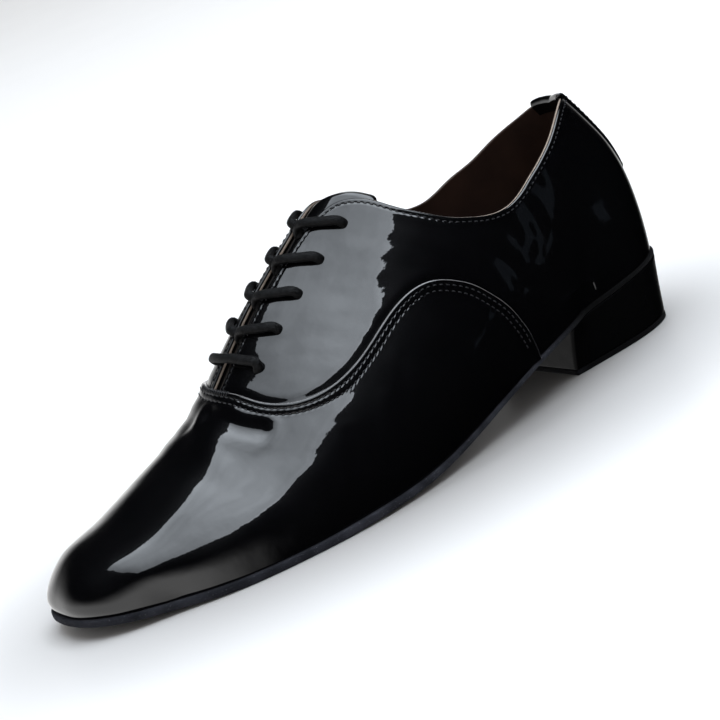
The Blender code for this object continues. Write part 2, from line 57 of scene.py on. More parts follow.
# The named sizes of the CAD source, and a few that only the looks need.
LENGTH = 0.290
BALL_WIDTH = 0.096
INSTEP_HEIGHT = 0.080
HEEL_HEIGHT = 0.0250
SOLE = 0.0035
TOE_SPRING = 0.007
WALL = 0.0020             # of the upper, outer leather and lining together
SKIN = 0.0010             # the patent leather's share of the wall, folded at its edges
GAP = 0.0003              # between a piece and what it lies on
TONGUE = 0.0018
TONGUE_GAP = 0.0004
STRAP = 0.0009            # thickness of the backstay
LACE_WIDE = 0.0038
LACE_HIGH = 0.0027
REACH = 0.0023            # of the welt past the upper
LIFT = 0.0022             # thickness of the heel's top piece
PITCH = 0.0025            # of the stitches
KNEE = (0.24, 0.62, 0.96)  # heights of a section's control points, as shares of its top's

# Each section: base x, lateral half width, medial half width, top x, top z, ridge offset, belly, flank,
# crown, as in the CAD source.
SECTIONS = np.array([
    (0.175, 0.338, 0.322, 0.004, 0.000, 0.000, 1.00, 0.96, 0.60),
    (0.176, 0.3385, 0.3225, -0.002, 0.260, 0.000, 1.03, 0.98, 0.58),
    (0.180, 0.341, 0.323, 0.006, 0.560, 0.000, 1.05, 0.96, 0.55),
    (0.190, 0.349, 0.324, 0.044, 0.860, 0.000, 1.06, 0.92, 0.52),
    (0.215, 0.380, 0.320, 0.092, 1.115, 0.000, 1.07, 0.88, 0.50),
    (0.265, 0.416, 0.310, 0.180, 1.295, 0.000, 1.09, 0.84, 0.46),
    (0.340, 0.460, 0.290, 0.320, 1.305, -0.010, 1.14, 0.83, 0.36),
    (0.430, 0.513, 0.290, 0.440, 1.180, -0.030, 1.17, 0.80, 0.26),
    (0.520, 0.558, 0.335, 0.540, 1.005, -0.045, 1.12, 0.76, 0.24),
    (0.610, 0.569, 0.395, 0.630, 0.782, -0.045, 1.05, 0.74, 0.28),
    (0.695, 0.540, 0.430, 0.715, 0.556, -0.030, 1.02, 0.76, 0.34),
    (0.770, 0.489, 0.425, 0.800, 0.422, -0.010, 1.01, 0.80, 0.40),
    (0.825, 0.425, 0.402, 0.875, 0.310, 0.000, 1.00, 0.82, 0.43),
    (0.857, 0.372, 0.381, 0.932, 0.232, 0.000, 0.965, 0.81, 0.42),
    (0.8685, 0.354, 0.366, 0.973, 0.085, 0.000, 0.92, 0.78, 0.40),
    (0.872, 0.347, 0.360, 0.973, 0.000, 0.000, 0.90, 0.76, 0.38)])
RISE = np.array([
    (-0.05, 1.010, 0.00), (0.00, 1.000, 0.00), (0.12, 0.905, 0.00), (0.22, 0.770, 0.00),
    (0.32, 0.547, 0.00), (0.42, 0.282, 0.00), (0.52, 0.085, 0.00), (0.60, 0.032, 0.00),
    (0.68, 0.000, 0.00), (0.78, 0.000, 0.00), (0.86, 0.000, 0.16), (0.94, 0.000, 0.55),
    (1.02, 0.000, 1.10)])
WELT = np.array([
    (-0.05, 0.57, 0.35), (0.15, 0.57, 0.39), (0.25, 0.63, 0.35), (0.42, 0.74, 0.52),
    (0.55, 0.91, 0.83), (0.66, 1.00, 1.00), (0.85, 1.00, 0.96), (1.02, 0.97, 0.87)])
TREAD_START = 0.60        # ahead of here, a sole lower than the tolerance lies flat on the ground
TREAD_TOLERANCE = 0.0002
SEAM = np.array([
    (0.358, 0.000), (0.364, 0.0145), (0.371, 0.030), (0.3785, 0.045), (0.388, 0.064), (0.400, 0.0855),
    (0.413, 0.109), (0.427, 0.130), (0.441, 0.148), (0.457, 0.161), (0.472, 0.167), (0.490, 0.169),
    (0.518, 0.166), (0.549, 0.166), (0.573, 0.175), (0.593, 0.194), (0.609, 0.224), (0.621, 0.270),
    (0.628, 0.340), (0.632, 0.400), (0.634, 0.465)])
SEAM_APEX = 0.40          # share of the seam at which it stands highest
LATERAL_EDGE = np.array([
    (0.6325, 0.437), (0.609, 0.432), (0.580, 0.427), (0.547, 0.422), (0.511, 0.418), (0.490, 0.410),
    (0.476, 0.398), (0.466, 0.380), (0.458, 0.358), (0.4515, 0.335), (0.444, 0.306), (0.431, 0.252),
    (0.418, 0.216), (0.402, 0.183), (0.387, 0.163), (0.369, 0.147), (0.347, 0.141), (0.318, 0.156),
    (0.276, 0.202), (0.245, 0.268), (0.222, 0.340), (0.205, 0.420), (0.198, 0.500)])
MEDIAL_EDGE = np.array([
    (0.6325, 0.493), (0.609, 0.498), (0.580, 0.503), (0.553, 0.507), (0.526, 0.512), (0.505, 0.522),
    (0.491, 0.540), (0.480, 0.566), (0.470, 0.598), (0.4615, 0.630), (0.453, 0.664), (0.441, 0.708),
    (0.423, 0.759), (0.404, 0.803), (0.387, 0.830), (0.369, 0.848), (0.345, 0.856), (0.312, 0.842),
    (0.281, 0.822), (0.255, 0.790), (0.230, 0.745), (0.212, 0.690), (0.203, 0.620), (0.1995, 0.560),
    (0.198, 0.500)])
EDGE_KNOTS = (0.46, 0.66, 0.80)   # shares of an edge's length at its corner, dip and side
CENTRE = 0.465            # a of the throat's middle line
EYELET_A = 0.312
EYELET_S = (0.598, 0.565, 0.532, 0.500, 0.468)
SKEW = 0.008              # the medial facing's eyelets sit this much nearer the toe
LACE_MIDDLE_S = (0.610, 0.586, 0.556, 0.524, 0.492)
TONGUE_TOP = np.array([
    (0.270, 0.452), (0.285, 0.440), (0.310, 0.439), (0.350, 0.446), (0.400, 0.454), (0.465, 0.462),
    (0.530, 0.469), (0.590, 0.478), (0.620, 0.487), (0.635, 0.502)])
TONGUE_FOOT = 0.662
TONGUE_MIDDLE = 0.452
TONGUE_HALF = 0.180
HEEL_FOOT = np.array([
    (0.00, 0.2166, 0.300), (0.16, 0.1759, 0.300), (0.32, 0.1362, 0.298), (0.50, 0.0914, 0.2854),
    (0.68, 0.0500, 0.2417), (0.84, 0.0224, 0.1563), (1.00, 0.0124, 0.000)])
BREAST = 0.219            # x of the heel's front face, in lengths
STRAP_A = 0.125           # half width of the backstay, in a, and s of its foot
STRAP_FOOT = 0.105
STRAP_INSIDE = 0.0045     # how far it goes down inside
STRAP_ROW = 0.82          # where its stitches run, as a share of its half width
STRAP_HEM = 0.0022        # and over its foot

# Creases: depth (a ridge where it is below zero), half width, and a line of (s, a).
CREASES = (
    (0.00090, 0.0030, ((0.640, 0.236), (0.650, 0.290), (0.6535, 0.350), (0.655, 0.420))),
    (-0.00020, 0.0040, ((0.690, 0.270), (0.683, 0.340), (0.680, 0.400))),
    (0.00090, 0.0090, ((0.715, 0.400), (0.760, 0.375), (0.810, 0.360), (0.860, 0.370))),
    (0.00030, 0.0032, ((0.383, 0.120), (0.371, 0.095), (0.360, 0.065))),
    (0.00025, 0.0036, ((0.330, 0.130), (0.322, 0.100), (0.330, 0.080))),
    (-0.00020, 0.0040, ((0.300, 0.170), (0.290, 0.140), (0.296, 0.110))),
    (0.00012, 0.0024, ((0.555, 0.030), (0.535, 0.075), (0.505, 0.120))),
    (-0.00010, 0.0022, ((0.580, 0.030), (0.562, 0.070), (0.540, 0.110))),
    (0.00012, 0.0024, ((0.610, 0.020), (0.600, 0.060), (0.585, 0.105))),
    (0.00050, 0.0030, ((0.668, 0.520), (0.662, 0.580), (0.655, 0.660), (0.640, 0.740))),
    (-0.00035, 0.0030, ((0.695, 0.520), (0.690, 0.600), (0.680, 0.690), (0.662, 0.780))),
    (0.00045, 0.0024, ((0.440, 0.905), (0.400, 0.880), (0.350, 0.900))),
    (-0.00030, 0.0024, ((0.300, 0.880), (0.250, 0.900), (0.200, 0.880))))
BANK_HIGH = 0.35          # a crease's raised bank, as a share of its depth
BANK_AWAY = 1.9           # and its place and width, in the crease's half widths
BANK_WIDE = 0.8


def spline(xs, ys):
    """Natural cubic spline through the rows of ys."""
    xs = np.asarray(xs, float)
    ys = np.asarray(ys, float)
    if ys.ndim == 1:
        ys = ys[:, None]
    count = len(xs)
    step = np.diff(xs)
    matrix = np.eye(count)
    right = np.zeros((count, ys.shape[1]))
    for i in range(1, count - 1):
        matrix[i, i - 1:i + 2] = step[i - 1], 2 * (step[i - 1] + step[i]), step[i]
        right[i] = 6 * ((ys[i + 1] - ys[i]) / step[i] - (ys[i] - ys[i - 1]) / step[i - 1])
    bend = np.linalg.solve(matrix, right)

    def value(x):
        x = np.asarray(x, float)
        i = np.clip(np.searchsorted(xs, x) - 1, 0, count - 2)
        t = (x - xs[i])[..., None]
        h = step[i][..., None]
        slope = (ys[i + 1] - ys[i]) / h - h * (2 * bend[i] + bend[i + 1]) / 6
        return ys[i] + t * (slope + t * (bend[i] / 2 + t * (bend[i + 1] - bend[i]) / (6 * h)))
    return value


KNOTS = np.array([0, 0, 0, 0, 1, 2, 3, 4, 5, 6, 6, 6, 6]) / 6


def basis(a):
    """Cubic B-spline weights of a section's nine control points."""
    a = np.clip(np.asarray(a, float), 0, 1 - 1e-12)
    weights = [((a >= KNOTS[i]) & (a < KNOTS[i + 1])).astype(float) for i in range(12)]
    for degree in range(1, 4):
        raised = []
        for i in range(12 - degree):
            total = np.zeros_like(a)
            if KNOTS[i + degree] > KNOTS[i]:
                total += (a - KNOTS[i]) / (KNOTS[i + degree] - KNOTS[i]) * weights[i]
            if KNOTS[i + degree + 1] > KNOTS[i + 1]:
                span = KNOTS[i + degree + 1] - KNOTS[i + 1]
                total += (KNOTS[i + degree + 1] - a) / span * weights[i + 1]
            raised.append(total)
        weights = raised
    return np.stack(weights, -1)


section_at = spline(np.linspace(0, 1, len(SECTIONS)), SECTIONS)
rise_at = spline(RISE[:, 0] * LENGTH, SOLE + RISE[:, 1] * HEEL_HEIGHT + RISE[:, 2] * TOE_SPRING)
welt_at = spline(WELT[:, 0] * LENGTH, WELT[:, 1:] * [SOLE, REACH])
HEIGHTS = np.array([0, *KNEE, 1, *KNEE[::-1], 0])
TOP_WEIGHT = (basis(0.5) * HEIGHTS).sum()


def rise(x):
    return rise_at(x)[..., 0]


def point(s, a):
    """The last's surface, which is the quarters' outer face."""
    s, a = np.broadcast_arrays(np.asarray(s, float), np.asarray(a, float))
    base, lateral, medial, top_x, top_z, ridge, belly, flank, crown = np.moveaxis(section_at(s), -1, 0)
    lateral = lateral * BALL_WIDTH
    medial = medial * BALL_WIDTH
    ridge = ridge * BALL_WIDTH
    across = np.stack([
        lateral, lateral * belly, lateral * flank + ridge * 0.35, lateral * crown + ridge * 0.8, ridge,
        -medial * crown + ridge * 0.8, -medial * flank + ridge * 0.35, -medial * belly, -medial], -1)
    weights = basis(a)
    up = (weights * HEIGHTS).sum(-1) / TOP_WEIGHT
    x = (base + up * (top_x - base)) * LENGTH
    z = up * top_z * INSTEP_HEIGHT + rise(x)
    return np.stack([x, (weights * across).sum(-1), z], -1)


def slopes(s, a):
    """How the surface point moves with s and with a."""
    small = 2e-4
    s = np.clip(s, 0.004, 0.996)
    a = np.clip(a, 0.004, 0.996)
    along = (point(s + small, a) - point(s - small, a)) / (2 * small)
    over = (point(s, a + small) - point(s, a - small)) / (2 * small)
    return along, over


def unit(v):
    return v / np.maximum(np.linalg.norm(v, axis=-1, keepdims=True), 1e-12)


def normal(s, a):
    along, over = slopes(s, a)
    return unit(np.cross(over, along))


def smooth(x):
    x = np.clip(x, 0, 1)
    return x * x * (3 - 2 * x)


def mirror(sa):
    """A line's partner on the medial side, about the throat's leaning middle line."""
    sa = np.array(sa, float)
    lean = (1 - 2 * CENTRE) * smooth(sa[..., 1] / 0.30) * smooth((sa[..., 0] - 0.20) / 0.10)
    sa[..., 1] = 1 - sa[..., 1] - lean
    return sa


def between(one, other, share):
    """Share 0 gives one, share 1 the other."""
    return np.asarray(one) * (1 - share) + np.asarray(other) * share


def lengths(line):
    """Distance along a line of points to each of them."""
    steps = np.linalg.norm(np.diff(line, axis=0), axis=1)
    return np.concatenate([[0], np.cumsum(steps)])


def path(table):
    """Smooth line through a table's rows: a function of the share of its length."""
    along = lengths(point(table[:, 0], table[:, 1]))
    curve = spline(along / along[-1], table)
    fine = np.linspace(0, 1, 1200)
    dots = curve(fine)
    run = lengths(point(dots[:, 0], dots[:, 1]))
    return lambda share: curve(np.interp(share, run / run[-1], fine))


def read_line(where, run, line):
    """Points of a line at the given places along it."""
    return np.stack([np.interp(where, run, column) for column in line.T], -1)


def evenly(corners, count):
    """count + 1 points at even spacing on the last, along a polyline of the chart."""
    corners = np.asarray(corners, float)
    place = np.linspace(0, len(corners) - 1, 120 * (len(corners) - 1) + 1)
    knots = np.arange(len(corners))
    dots = read_line(place, knots, corners)
    run = lengths(point(dots[:, 0], dots[:, 1]))
    where = np.interp(np.linspace(0, 1, count + 1), run / run[-1], place)
    return read_line(where, knots, corners)


# Relief of the leather

WAVES = 14
WAVE_SLOPE = 0.0058       # how steep each set of ripples is
FIRST_WAVE = 0.007        # shortest wavelength
LAST_WAVE = 0.034


def ripples(dots):
    """Gentle unevenness in the leather: waves in many directions, each with its own length."""
    total = np.zeros(dots.shape[:-1])
    for k in range(WAVES):
        turn = 2.399963 * k + 0.7
        lift = -0.9 + 1.8 * ((k * 0.618034 + 0.31) % 1)
        flat = np.sqrt(1 - lift * lift)
        way = np.array([flat * np.cos(turn), flat * np.sin(turn), lift])
        wave = FIRST_WAVE * (LAST_WAVE / FIRST_WAVE) ** (k / (WAVES - 1))
        total += WAVE_SLOPE * wave / (2 * np.pi) * np.sin(2 * np.pi * (dots @ way) / wave + 1.7 * k)
    return total


def distance_to(dots, line):
    """Distance of each point from a polyline, in space."""
    best = np.full(dots.shape[:-1], 1.0)
    for start, end in zip(line[:-1], line[1:]):
        way = end - start
        share = np.clip(((dots - start) @ way) / max(way @ way, 1e-12), 0, 1)
        best = np.minimum(best, np.linalg.norm(dots - start - share[..., None] * way, axis=-1))
    return best


def crease_lines():
    lines = []
    for depth, half, table in CREASES:
        table = np.array(table)
        fine = spline(np.linspace(0, 1, len(table)), table)(np.linspace(0, 1, 16))
        lines.append((depth, half, point(fine[:, 0], fine[:, 1])))
    return lines


CREASE_LINES = crease_lines()


def relief(sa):
    """Height of the leather over the smooth last, from ripples and creases."""
    dots = point(sa[..., 0], sa[..., 1])
    total = ripples(dots)
    for depth, half, line in CREASE_LINES:
        away = distance_to(dots, line) / half
        bank = BANK_HIGH * np.exp(-((away - BANK_AWAY) / BANK_WIDE) ** 2)
        total -= depth * (np.exp(-away ** 2) - bank)
    return total


def lifted(sa, height):
    """Points of the chart, raised off the last by height."""
    sa = np.asarray(sa, float)
    height = np.asarray(height, float)
    height = np.broadcast_to(height, sa.shape[:-1])[..., None]
    return point(sa[..., 0], sa[..., 1]) + normal(sa[..., 0], sa[..., 1]) * height


# Meshes

def put(name, data):
    """A new object, in the scene."""
    made = bpy.data.objects.new(name, data)
    bpy.context.scene.collection.objects.link(made)
    return made


class Skin:
    """Grids of vertices and the faces between them, with one number kept at each vertex."""

    def __init__(self):
        self.vertices = []
        self.faces = []
        self.tint = []
        self.count = 0

    def points(self, dots, tint=0.0):
        shape = dots.shape[:-1]
        self.vertices.append(dots.reshape(-1, 3))
        self.tint.append(np.broadcast_to(tint, shape).reshape(-1))
        numbers = self.count + np.arange(int(np.prod(shape))).reshape(shape)
        self.count += numbers.size
        return numbers

    def fill(self, n):
        quads = np.stack([n[:-1, :-1], n[1:, :-1], n[1:, 1:], n[:-1, 1:]], -1)
        self.faces.append(quads.reshape(-1, 4))

    def grid(self, dots, tint=0.0):
        numbers = self.points(dots, tint)
        self.fill(numbers)
        return numbers

    def rims(self, one, other):
        """Faces between the four edges of two grids."""
        for side in ((slice(None), 0), (slice(None), -1), (0, slice(None)), (-1, slice(None))):
            self.fill(np.stack([one[side], other[side]]))

    def tube(self, rings):
        """A closed row of points for each ring, and a cap at both ends."""
        numbers = self.grid(rings)
        self.fill(np.stack([numbers[:, -1], numbers[:, 0]]))
        for end in (0, -1):
            centre = self.points(rings[end].mean(0)[None])[0]
            ring = numbers[end]
            hub = np.full(len(ring), centre)
            self.faces.append(np.stack([ring, np.roll(ring, -1), hub, hub], -1))

    def piece(self, name, body="root"):
        dots = np.concatenate(self.vertices) - MIDDLE
        faces = [list(dict.fromkeys(face)) for face in np.concatenate(self.faces).tolist()]
        mesh = bpy.data.meshes.new(name)
        mesh.from_pydata(dots.tolist(), [], [f for f in faces if len(f) > 2])
        tint = mesh.attributes.new("tint", "FLOAT", "POINT")
        tint.data.foreach_set("value", np.concatenate(self.tint).astype(np.float32))
        bm = bmesh.new()
        bm.from_mesh(mesh)
        bmesh.ops.remove_doubles(bm, verts=bm.verts, dist=2e-6)
        bmesh.ops.dissolve_degenerate(bm, dist=1e-6, edges=bm.edges)
        bmesh.ops.recalc_face_normals(bm, faces=bm.faces)
        bm.to_mesh(mesh)
        bm.free()
        mesh.shade_smooth()
        made = put(name, mesh)
        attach(made, body)
        return made


class Strip:
    """Lines of the chart from a top edge to a low edge, by metres squarely below the top edge."""

    def __init__(self, low, top, tuck=0.0):
        self.low = low
        self.top = top
        self.share = np.linspace(0, 1, 33)
        chart = top[:, None] + (low - top)[:, None] * self.share[None, :, None]
        dots = point(chart[..., 0], chart[..., 1])
        steps = np.linalg.norm(np.diff(dots, axis=1), axis=2)
        self.run = np.concatenate([np.zeros((len(top), 1)), np.cumsum(steps, axis=1)], 1)
        edge = unit(np.gradient(dots[:, 0], axis=0))
        way = unit(dots[:, 3] - dots[:, 0])
        self.square = np.sqrt(np.clip(1 - (edge * way).sum(1) ** 2, 0.2, 1))
        self.along = lengths(dots[:, 0])
        self.tuck = np.broadcast_to(tuck, len(top))

    def chart(self, depths, rest):
        """Rows at the given depths, then rest rows on to the low edge, and a row tucked past it."""
        rows = np.empty((len(self.top), len(depths) + rest + 1, 2))
        spread = np.arange(1, rest + 1) / rest
        for i in range(len(self.top)):
            near = np.interp(np.asarray(depths) / self.square[i], self.run[i], self.share)
            last = near[-1]
            past = 1 + self.tuck[i] / max(self.run[i, -1], 0.002)
            shares = np.concatenate([near, last + (1 - last) * spread, [past]])
            rows[i] = self.top[i] + (self.low[i] - self.top[i]) * shares[:, None]
        return np.clip(rows, 0, 1)


def pucker(depths, along, stitch_rows):
    """How far the thread pulls the leather down, for each column and each depth."""
    pull = np.zeros((len(along), len(depths)))
    beat = 0.62 + 0.38 * np.cos(2 * np.pi * along / PITCH)
    for row in stitch_rows:
        pull -= PULL * np.exp(-((depths - row) / PULL_REACH) ** 2)[None] * beat[:, None]
        pull += RISE_PAST * np.exp(-((depths - row - 0.0010) / 0.0005) ** 2)[None]
    return pull


def turned_edge(top, bottom, hem, steps=9):
    """Depths and heights over a turned edge, from its outer face down, then along its hidden hem."""
    turn = np.linspace(0, np.pi / 2, steps + 1)
    hem_depths, hem_heights = np.transpose(hem)
    depths = np.append(TURN * (1 - np.sin(turn)), hem_depths)
    return depths, np.append(bottom + (top - bottom) * np.cos(turn), hem_heights)


def vamp_profile(depths):
    """Height of the vamp: it climbs to its lap, and swells between its rows of stitches."""
    lap = 1 - smooth(depths / LAP_SLOPE)
    first, second = VAMP_STITCHES
    swell = np.zeros(len(depths))
    for low, high in ((0.0001, first), (first, second)):
        middle = (low + high) / 2
        swell += SWELL * np.clip(1 - ((depths - middle) / (high - middle)) ** 2, 0, 1)
    return VAMP_HIGH + (EDGE_HIGH - VAMP_HIGH) * lap + swell


def panel(skin, strip, depths, rest, base, fold, stitch_rows, edge_grey_and_highlight=0.0):
    """A sheet of leather with a turned top edge; base gives its height from the chart and depths."""
    chart = strip.chart(depths, rest)
    height = base(chart, np.append(depths, np.full(rest + 1, 1.0))) + relief(chart)
    height[:, :len(depths)] += pucker(depths, strip.along, stitch_rows)
    height[:, -1] -= TUCK_SUNK * (strip.tuck > 0)
    fold_depths, fold_heights = fold
    edge_chart = strip.chart(fold_depths, 1)[:, :len(fold_depths)]
    edge = lifted(edge_chart, relief(edge_chart[:, :1]) + fold_heights[None])
    dots = np.concatenate([edge[:, ::-1], lifted(chart, height)], 1)
    tint = np.zeros(dots.shape[1])
    # The turned edge's outer rows get a pale grey on the vamp: partly a grey cut edge, partly a painted
    # highlight along the edge.
    tint[:len(fold_depths) - 2] = edge_grey_and_highlight
    skin.grid(dots, tint[None])


# Lines that the panels share

def dense_lines(wing, front, bridge_steps, waist, heel):
    """Edges of both panels as close points; the arguments are steps along each stretch."""
    seam_at = path(SEAM)
    fine = np.linspace(SEAM_APEX, 1, 400)
    throat_share = fine[np.abs(seam_at(fine)[:, 1] - LATERAL_EDGE[0, 1]).argmin()]
    share = np.concatenate([
        np.linspace(0, SEAM_APEX, wing, endpoint=False), np.linspace(SEAM_APEX, throat_share, front + 1)])
    lateral = seam_at(share)
    medial = mirror(lateral)
    bridge = np.linspace(lateral[-1], medial[-1], bridge_steps + 1)
    seam = np.concatenate([lateral, bridge[1:-1], medial[::-1]])
    lateral_edge = LATERAL_EDGE.copy()
    medial_edge = MEDIAL_EDGE.copy()
    lateral_edge[0] = lateral[-1]
    medial_edge[0] = medial[-1]
    corner, dip, side = EDGE_KNOTS
    share = np.concatenate([
        np.linspace(0, corner, front, endpoint=False), np.linspace(corner, dip, wing, endpoint=False),
        np.linspace(dip, side, waist, endpoint=False), np.linspace(side, 1, heel + 1)])
    top = np.concatenate([path(lateral_edge)(share), path(medial_edge)(share)[::-1][1:]])
    start = (lateral[0, 0], 0)
    low = np.concatenate([
        lateral[::-1][:-1], evenly([start, (0, 0)], waist)[:-1], evenly([(0, 0), (0, 0.5)], heel)])
    low = np.concatenate([low, mirror(low)[::-1][1:]])
    toe = front - 2
    half = np.concatenate([
        evenly([start, (0.70, 0)], wing + 1)[:-1], evenly([(0.70, 0), (1, 0), (1, 0.5)], toe)])
    half = evenly_like(half, len(lateral) + bridge_steps // 2)
    vamp_low = np.concatenate([half, (half * [1, -1] + [0, 1])[::-1][1:]])
    return seam, vamp_low, top, low, len(lateral)


def evenly_like(line, count):
    """The same line with count points, at even spacing."""
    run = lengths(point(line[:, 0], line[:, 1]))
    return read_line(np.linspace(0, run[-1], count), run, line)


# Rows of each panel below its edge, close together at the stitches.
EDGE_DEPTHS = np.array([1.2, 1.4, 1.6, 1.8, 2.0, 2.15, 2.3, 2.45, 2.65, 2.9, 3.2, 3.5, 3.8, 4.05, 4.3,
                        4.5, 4.7, 4.95, 5.3, 5.7, 6.3, 7.0]) / 1000
VAMP_ROWS = 62            # and the rows from there to the low edge
QUARTER_ROWS = 48
LINING_ROWS = 26
VAMP_STITCHES = (0.0023, 0.0045)          # depths of the rows of stitches
EDGE_STITCHES = (0.0020,)
TURN = 0.00085            # how far a turned edge takes to bend over
VAMP_HIGH = 0.0005        # of the vamp over the quarters' face
EDGE_HIGH = 0.0014        # and of its lapped edge
LAP_SLOPE = 0.0058        # how far the edge's height takes to run out
SWELL = 0.00005           # of the leather between rows of stitches
SEAM_DIP = 0.00040        # how far the quarters are pressed down along the vamp's edge
SEAM_REACH = 0.0019
PULL = 0.00016            # depth and reach of the hollow at a stitch
PULL_REACH = 0.00042
RISE_PAST = 0.00001       # of the leather past a row of stitches
VAMP_HEM = ((0.0005, -0.0005), (0.0022, -0.0007))         # depth and height of the hidden hem's rows
QUARTER_HEM = ((0.0003, -SKIN), (0.004, -SKIN - 0.00005))
TUCK = 0.004              # how far the quarters run on under the vamp
TUCK_SUNK = 0.0004
seam, vamp_low, edge_top, edge_low, wing_count = dense_lines(
    wing=190, front=250, bridge_steps=16, waist=120, heel=110)


def vamp_piece():
    skin = Skin()
    strip = Strip(vamp_low, seam)
    fold = turned_edge(vamp_profile(np.array([TURN]))[0], -0.0001, VAMP_HEM)
    panel(skin, strip, EDGE_DEPTHS, VAMP_ROWS, lambda chart, depths: vamp_profile(depths), fold,
          VAMP_STITCHES, 1.0)
    return skin.piece("vamp"), strip


def quarter_base(chart, depths):
    """The quarters dip along the vamp's edge."""
    line = point(seam[::8, 0], seam[::8, 1])
    away = distance_to(point(chart[..., 0], chart[..., 1]), line)
    return -SEAM_DIP * np.exp(-(away / SEAM_REACH) ** 2)


FOLD_LINE = ((0.317, 0.0275), (0.295, 0.026), (0.255, 0.0275), (0.185, 0.033), (0.140, 0.038),
             (0.093, 0.033), (0.050, 0.040), (0.020, 0.055))
FOLD_HIGH = 0.00095
FOLD_WIDE = 1.9           # its width, as a share of its height
FOLD_SUNK = 0.00025


def seat_fold(skin):
    """A slender fold of the leather above the heel seat, outer side."""
    line = evenly(FOLD_LINE, 90)
    share = np.linspace(0, 1, len(line))
    taper = np.sqrt(np.sin(np.pi * np.clip(share, 0.002, 0.998)))
    fat = FOLD_HIGH * taper * (0.75 + 0.25 * np.sin(9 * share))
    dots = lifted(line, relief(line) - FOLD_SUNK)
    way = unit(np.gradient(dots, axis=0))
    up = normal(line[:, 0], line[:, 1])
    side = np.cross(way, up)
    turn = np.linspace(0, 2 * np.pi, 17)[:-1, None]
    ring = side[:, None] * (FOLD_WIDE * np.cos(turn)) + up[:, None] * np.sin(turn)
    skin.tube(dots[:, None] + ring * fat[:, None, None])


def quarter_piece():
    skin = Skin()
    tuck = np.zeros(len(edge_low))
    tuck[:wing_count] = TUCK * smooth(np.arange(wing_count)[::-1] / 40)
    tuck[-wing_count:] = tuck[:wing_count][::-1]
    strip = Strip(edge_low, edge_top, tuck)
    fold = turned_edge(0.0, -0.9 * SKIN, QUARTER_HEM)
    panel(skin, strip, EDGE_DEPTHS[:-1], QUARTER_ROWS, quarter_base, fold, EDGE_STITCHES)
    seat_fold(skin)
    return skin.piece("quarters"), strip


# The lining's edge. Columns: depth and height in millimetres, and how pale it is cut.
LINING_RIM = np.array([
    (4.0, -1.08, 1), (0.6, -1.05, 1), (0.2, -1.04, 1), (-0.1, -1.10, 1), (-0.22, -1.25, 1),
    (-0.22, -1.70, 0.75), (-0.1, -1.88, 0.2), (0.2, -1.96, 0), (0.6, -2.0, 0)])
LINING_DEPTHS = np.array([1.0, 1.6, 2.4, 3.4, 5.0, 7.0]) / 1000


def lining_piece(strip, vamp_strip):
    """Leather lining of the quarters, with a pale cut edge along the topline and facings."""
    skin = Skin()
    edge = LINING_RIM[:, 0] / 1000
    chart = strip.chart(LINING_DEPTHS, LINING_ROWS)
    body = lifted(chart, np.full(chart.shape[:2], -WALL))
    rim_chart = strip.chart(np.maximum(edge, 0), 1)[:, :len(edge)]
    rim = lifted(rim_chart, np.broadcast_to(LINING_RIM[:, 1] / 1000, rim_chart.shape[:2]))
    out = unit(lifted(strip.top, 0) - lifted(strip.chart([0.001], 1)[:, 0], 0))
    rim += out[:, None] * -np.minimum(edge, 0)[None, :, None]
    tint = np.append(LINING_RIM[:, 2], np.zeros(len(LINING_DEPTHS) + LINING_ROWS + 1))
    # The cut edge is painted dark on the medial topline as painted shade, and pale again on the medial
    # facing.
    share = strip.along / strip.along[-1]
    painted_shade_scale = 1 - 0.85 * smooth((share - 0.50) / 0.06) + 0.70 * smooth((share - 0.80) / 0.05)
    skin.grid(np.concatenate([rim, body], 1), tint[None] * painted_shade_scale[:, None])
    chart = vamp_strip.chart([0.0], 30)
    skin.grid(lifted(chart, np.full(chart.shape[:2], -WALL - 0.00005)))
    return skin.piece("lining")


# Threads: length, width and height of a stitch, and how deep it is sunk.
LONG_STITCH = (0.0017, 0.00046, 0.00042)
BAR_STITCH = (0.0024, 0.00050, 0.00045)
STRAP_STITCH = (0.0016, 0.00040, 0.00036)
THREAD_SUNK = 0.00012
AHEAD = 0.0006            # to the point further on that gives a thread its direction


def stitches(skin, places, ways, ups, length, wide, high):
    """Short curved threads, each sunk at both ends."""
    share = np.linspace(-1, 1, 8)
    fat = np.sqrt(np.clip(1 - share ** 4, 0.02, 1))
    turn = np.linspace(0, 2 * np.pi, 7)[:-1]
    for place, way, up in zip(places, ways, ups):
        side = unit(np.cross(up, way))
        line = place + way * share[:, None] * length / 2 + up * (high * (0.5 - 1.25 * share ** 4))[:, None]
        ring = side * np.cos(turn)[:, None] * wide / 2
        ring = ring[None] * fat[:, None, None]
        ring = ring + up * (np.sin(turn)[None, :, None] * high / 2 * fat[:, None, None])
        skin.tube(line[:, None] + ring)


def row_of_stitches(skin, strip, depth, base, margin):
    """Stitches along a strip's top edge, depth metres below it."""
    along = np.arange(0.5, strip.along[-1] / PITCH) * PITCH
    along = along[(along > margin) & (along < strip.along[-1] - margin)]
    line = strip.chart([depth], 1)[:, 0]
    near = read_line(along, strip.along, line)
    height = base + relief(near) - THREAD_SUNK
    dots = lifted(near, height)
    step = lifted(read_line(along + AHEAD, strip.along, line), height) - dots
    keep = np.linalg.norm(step, axis=1) > 1e-5
    stitches(skin, dots[keep], unit(step[keep]), normal(near[:, 0], near[:, 1])[keep], *LONG_STITCH)


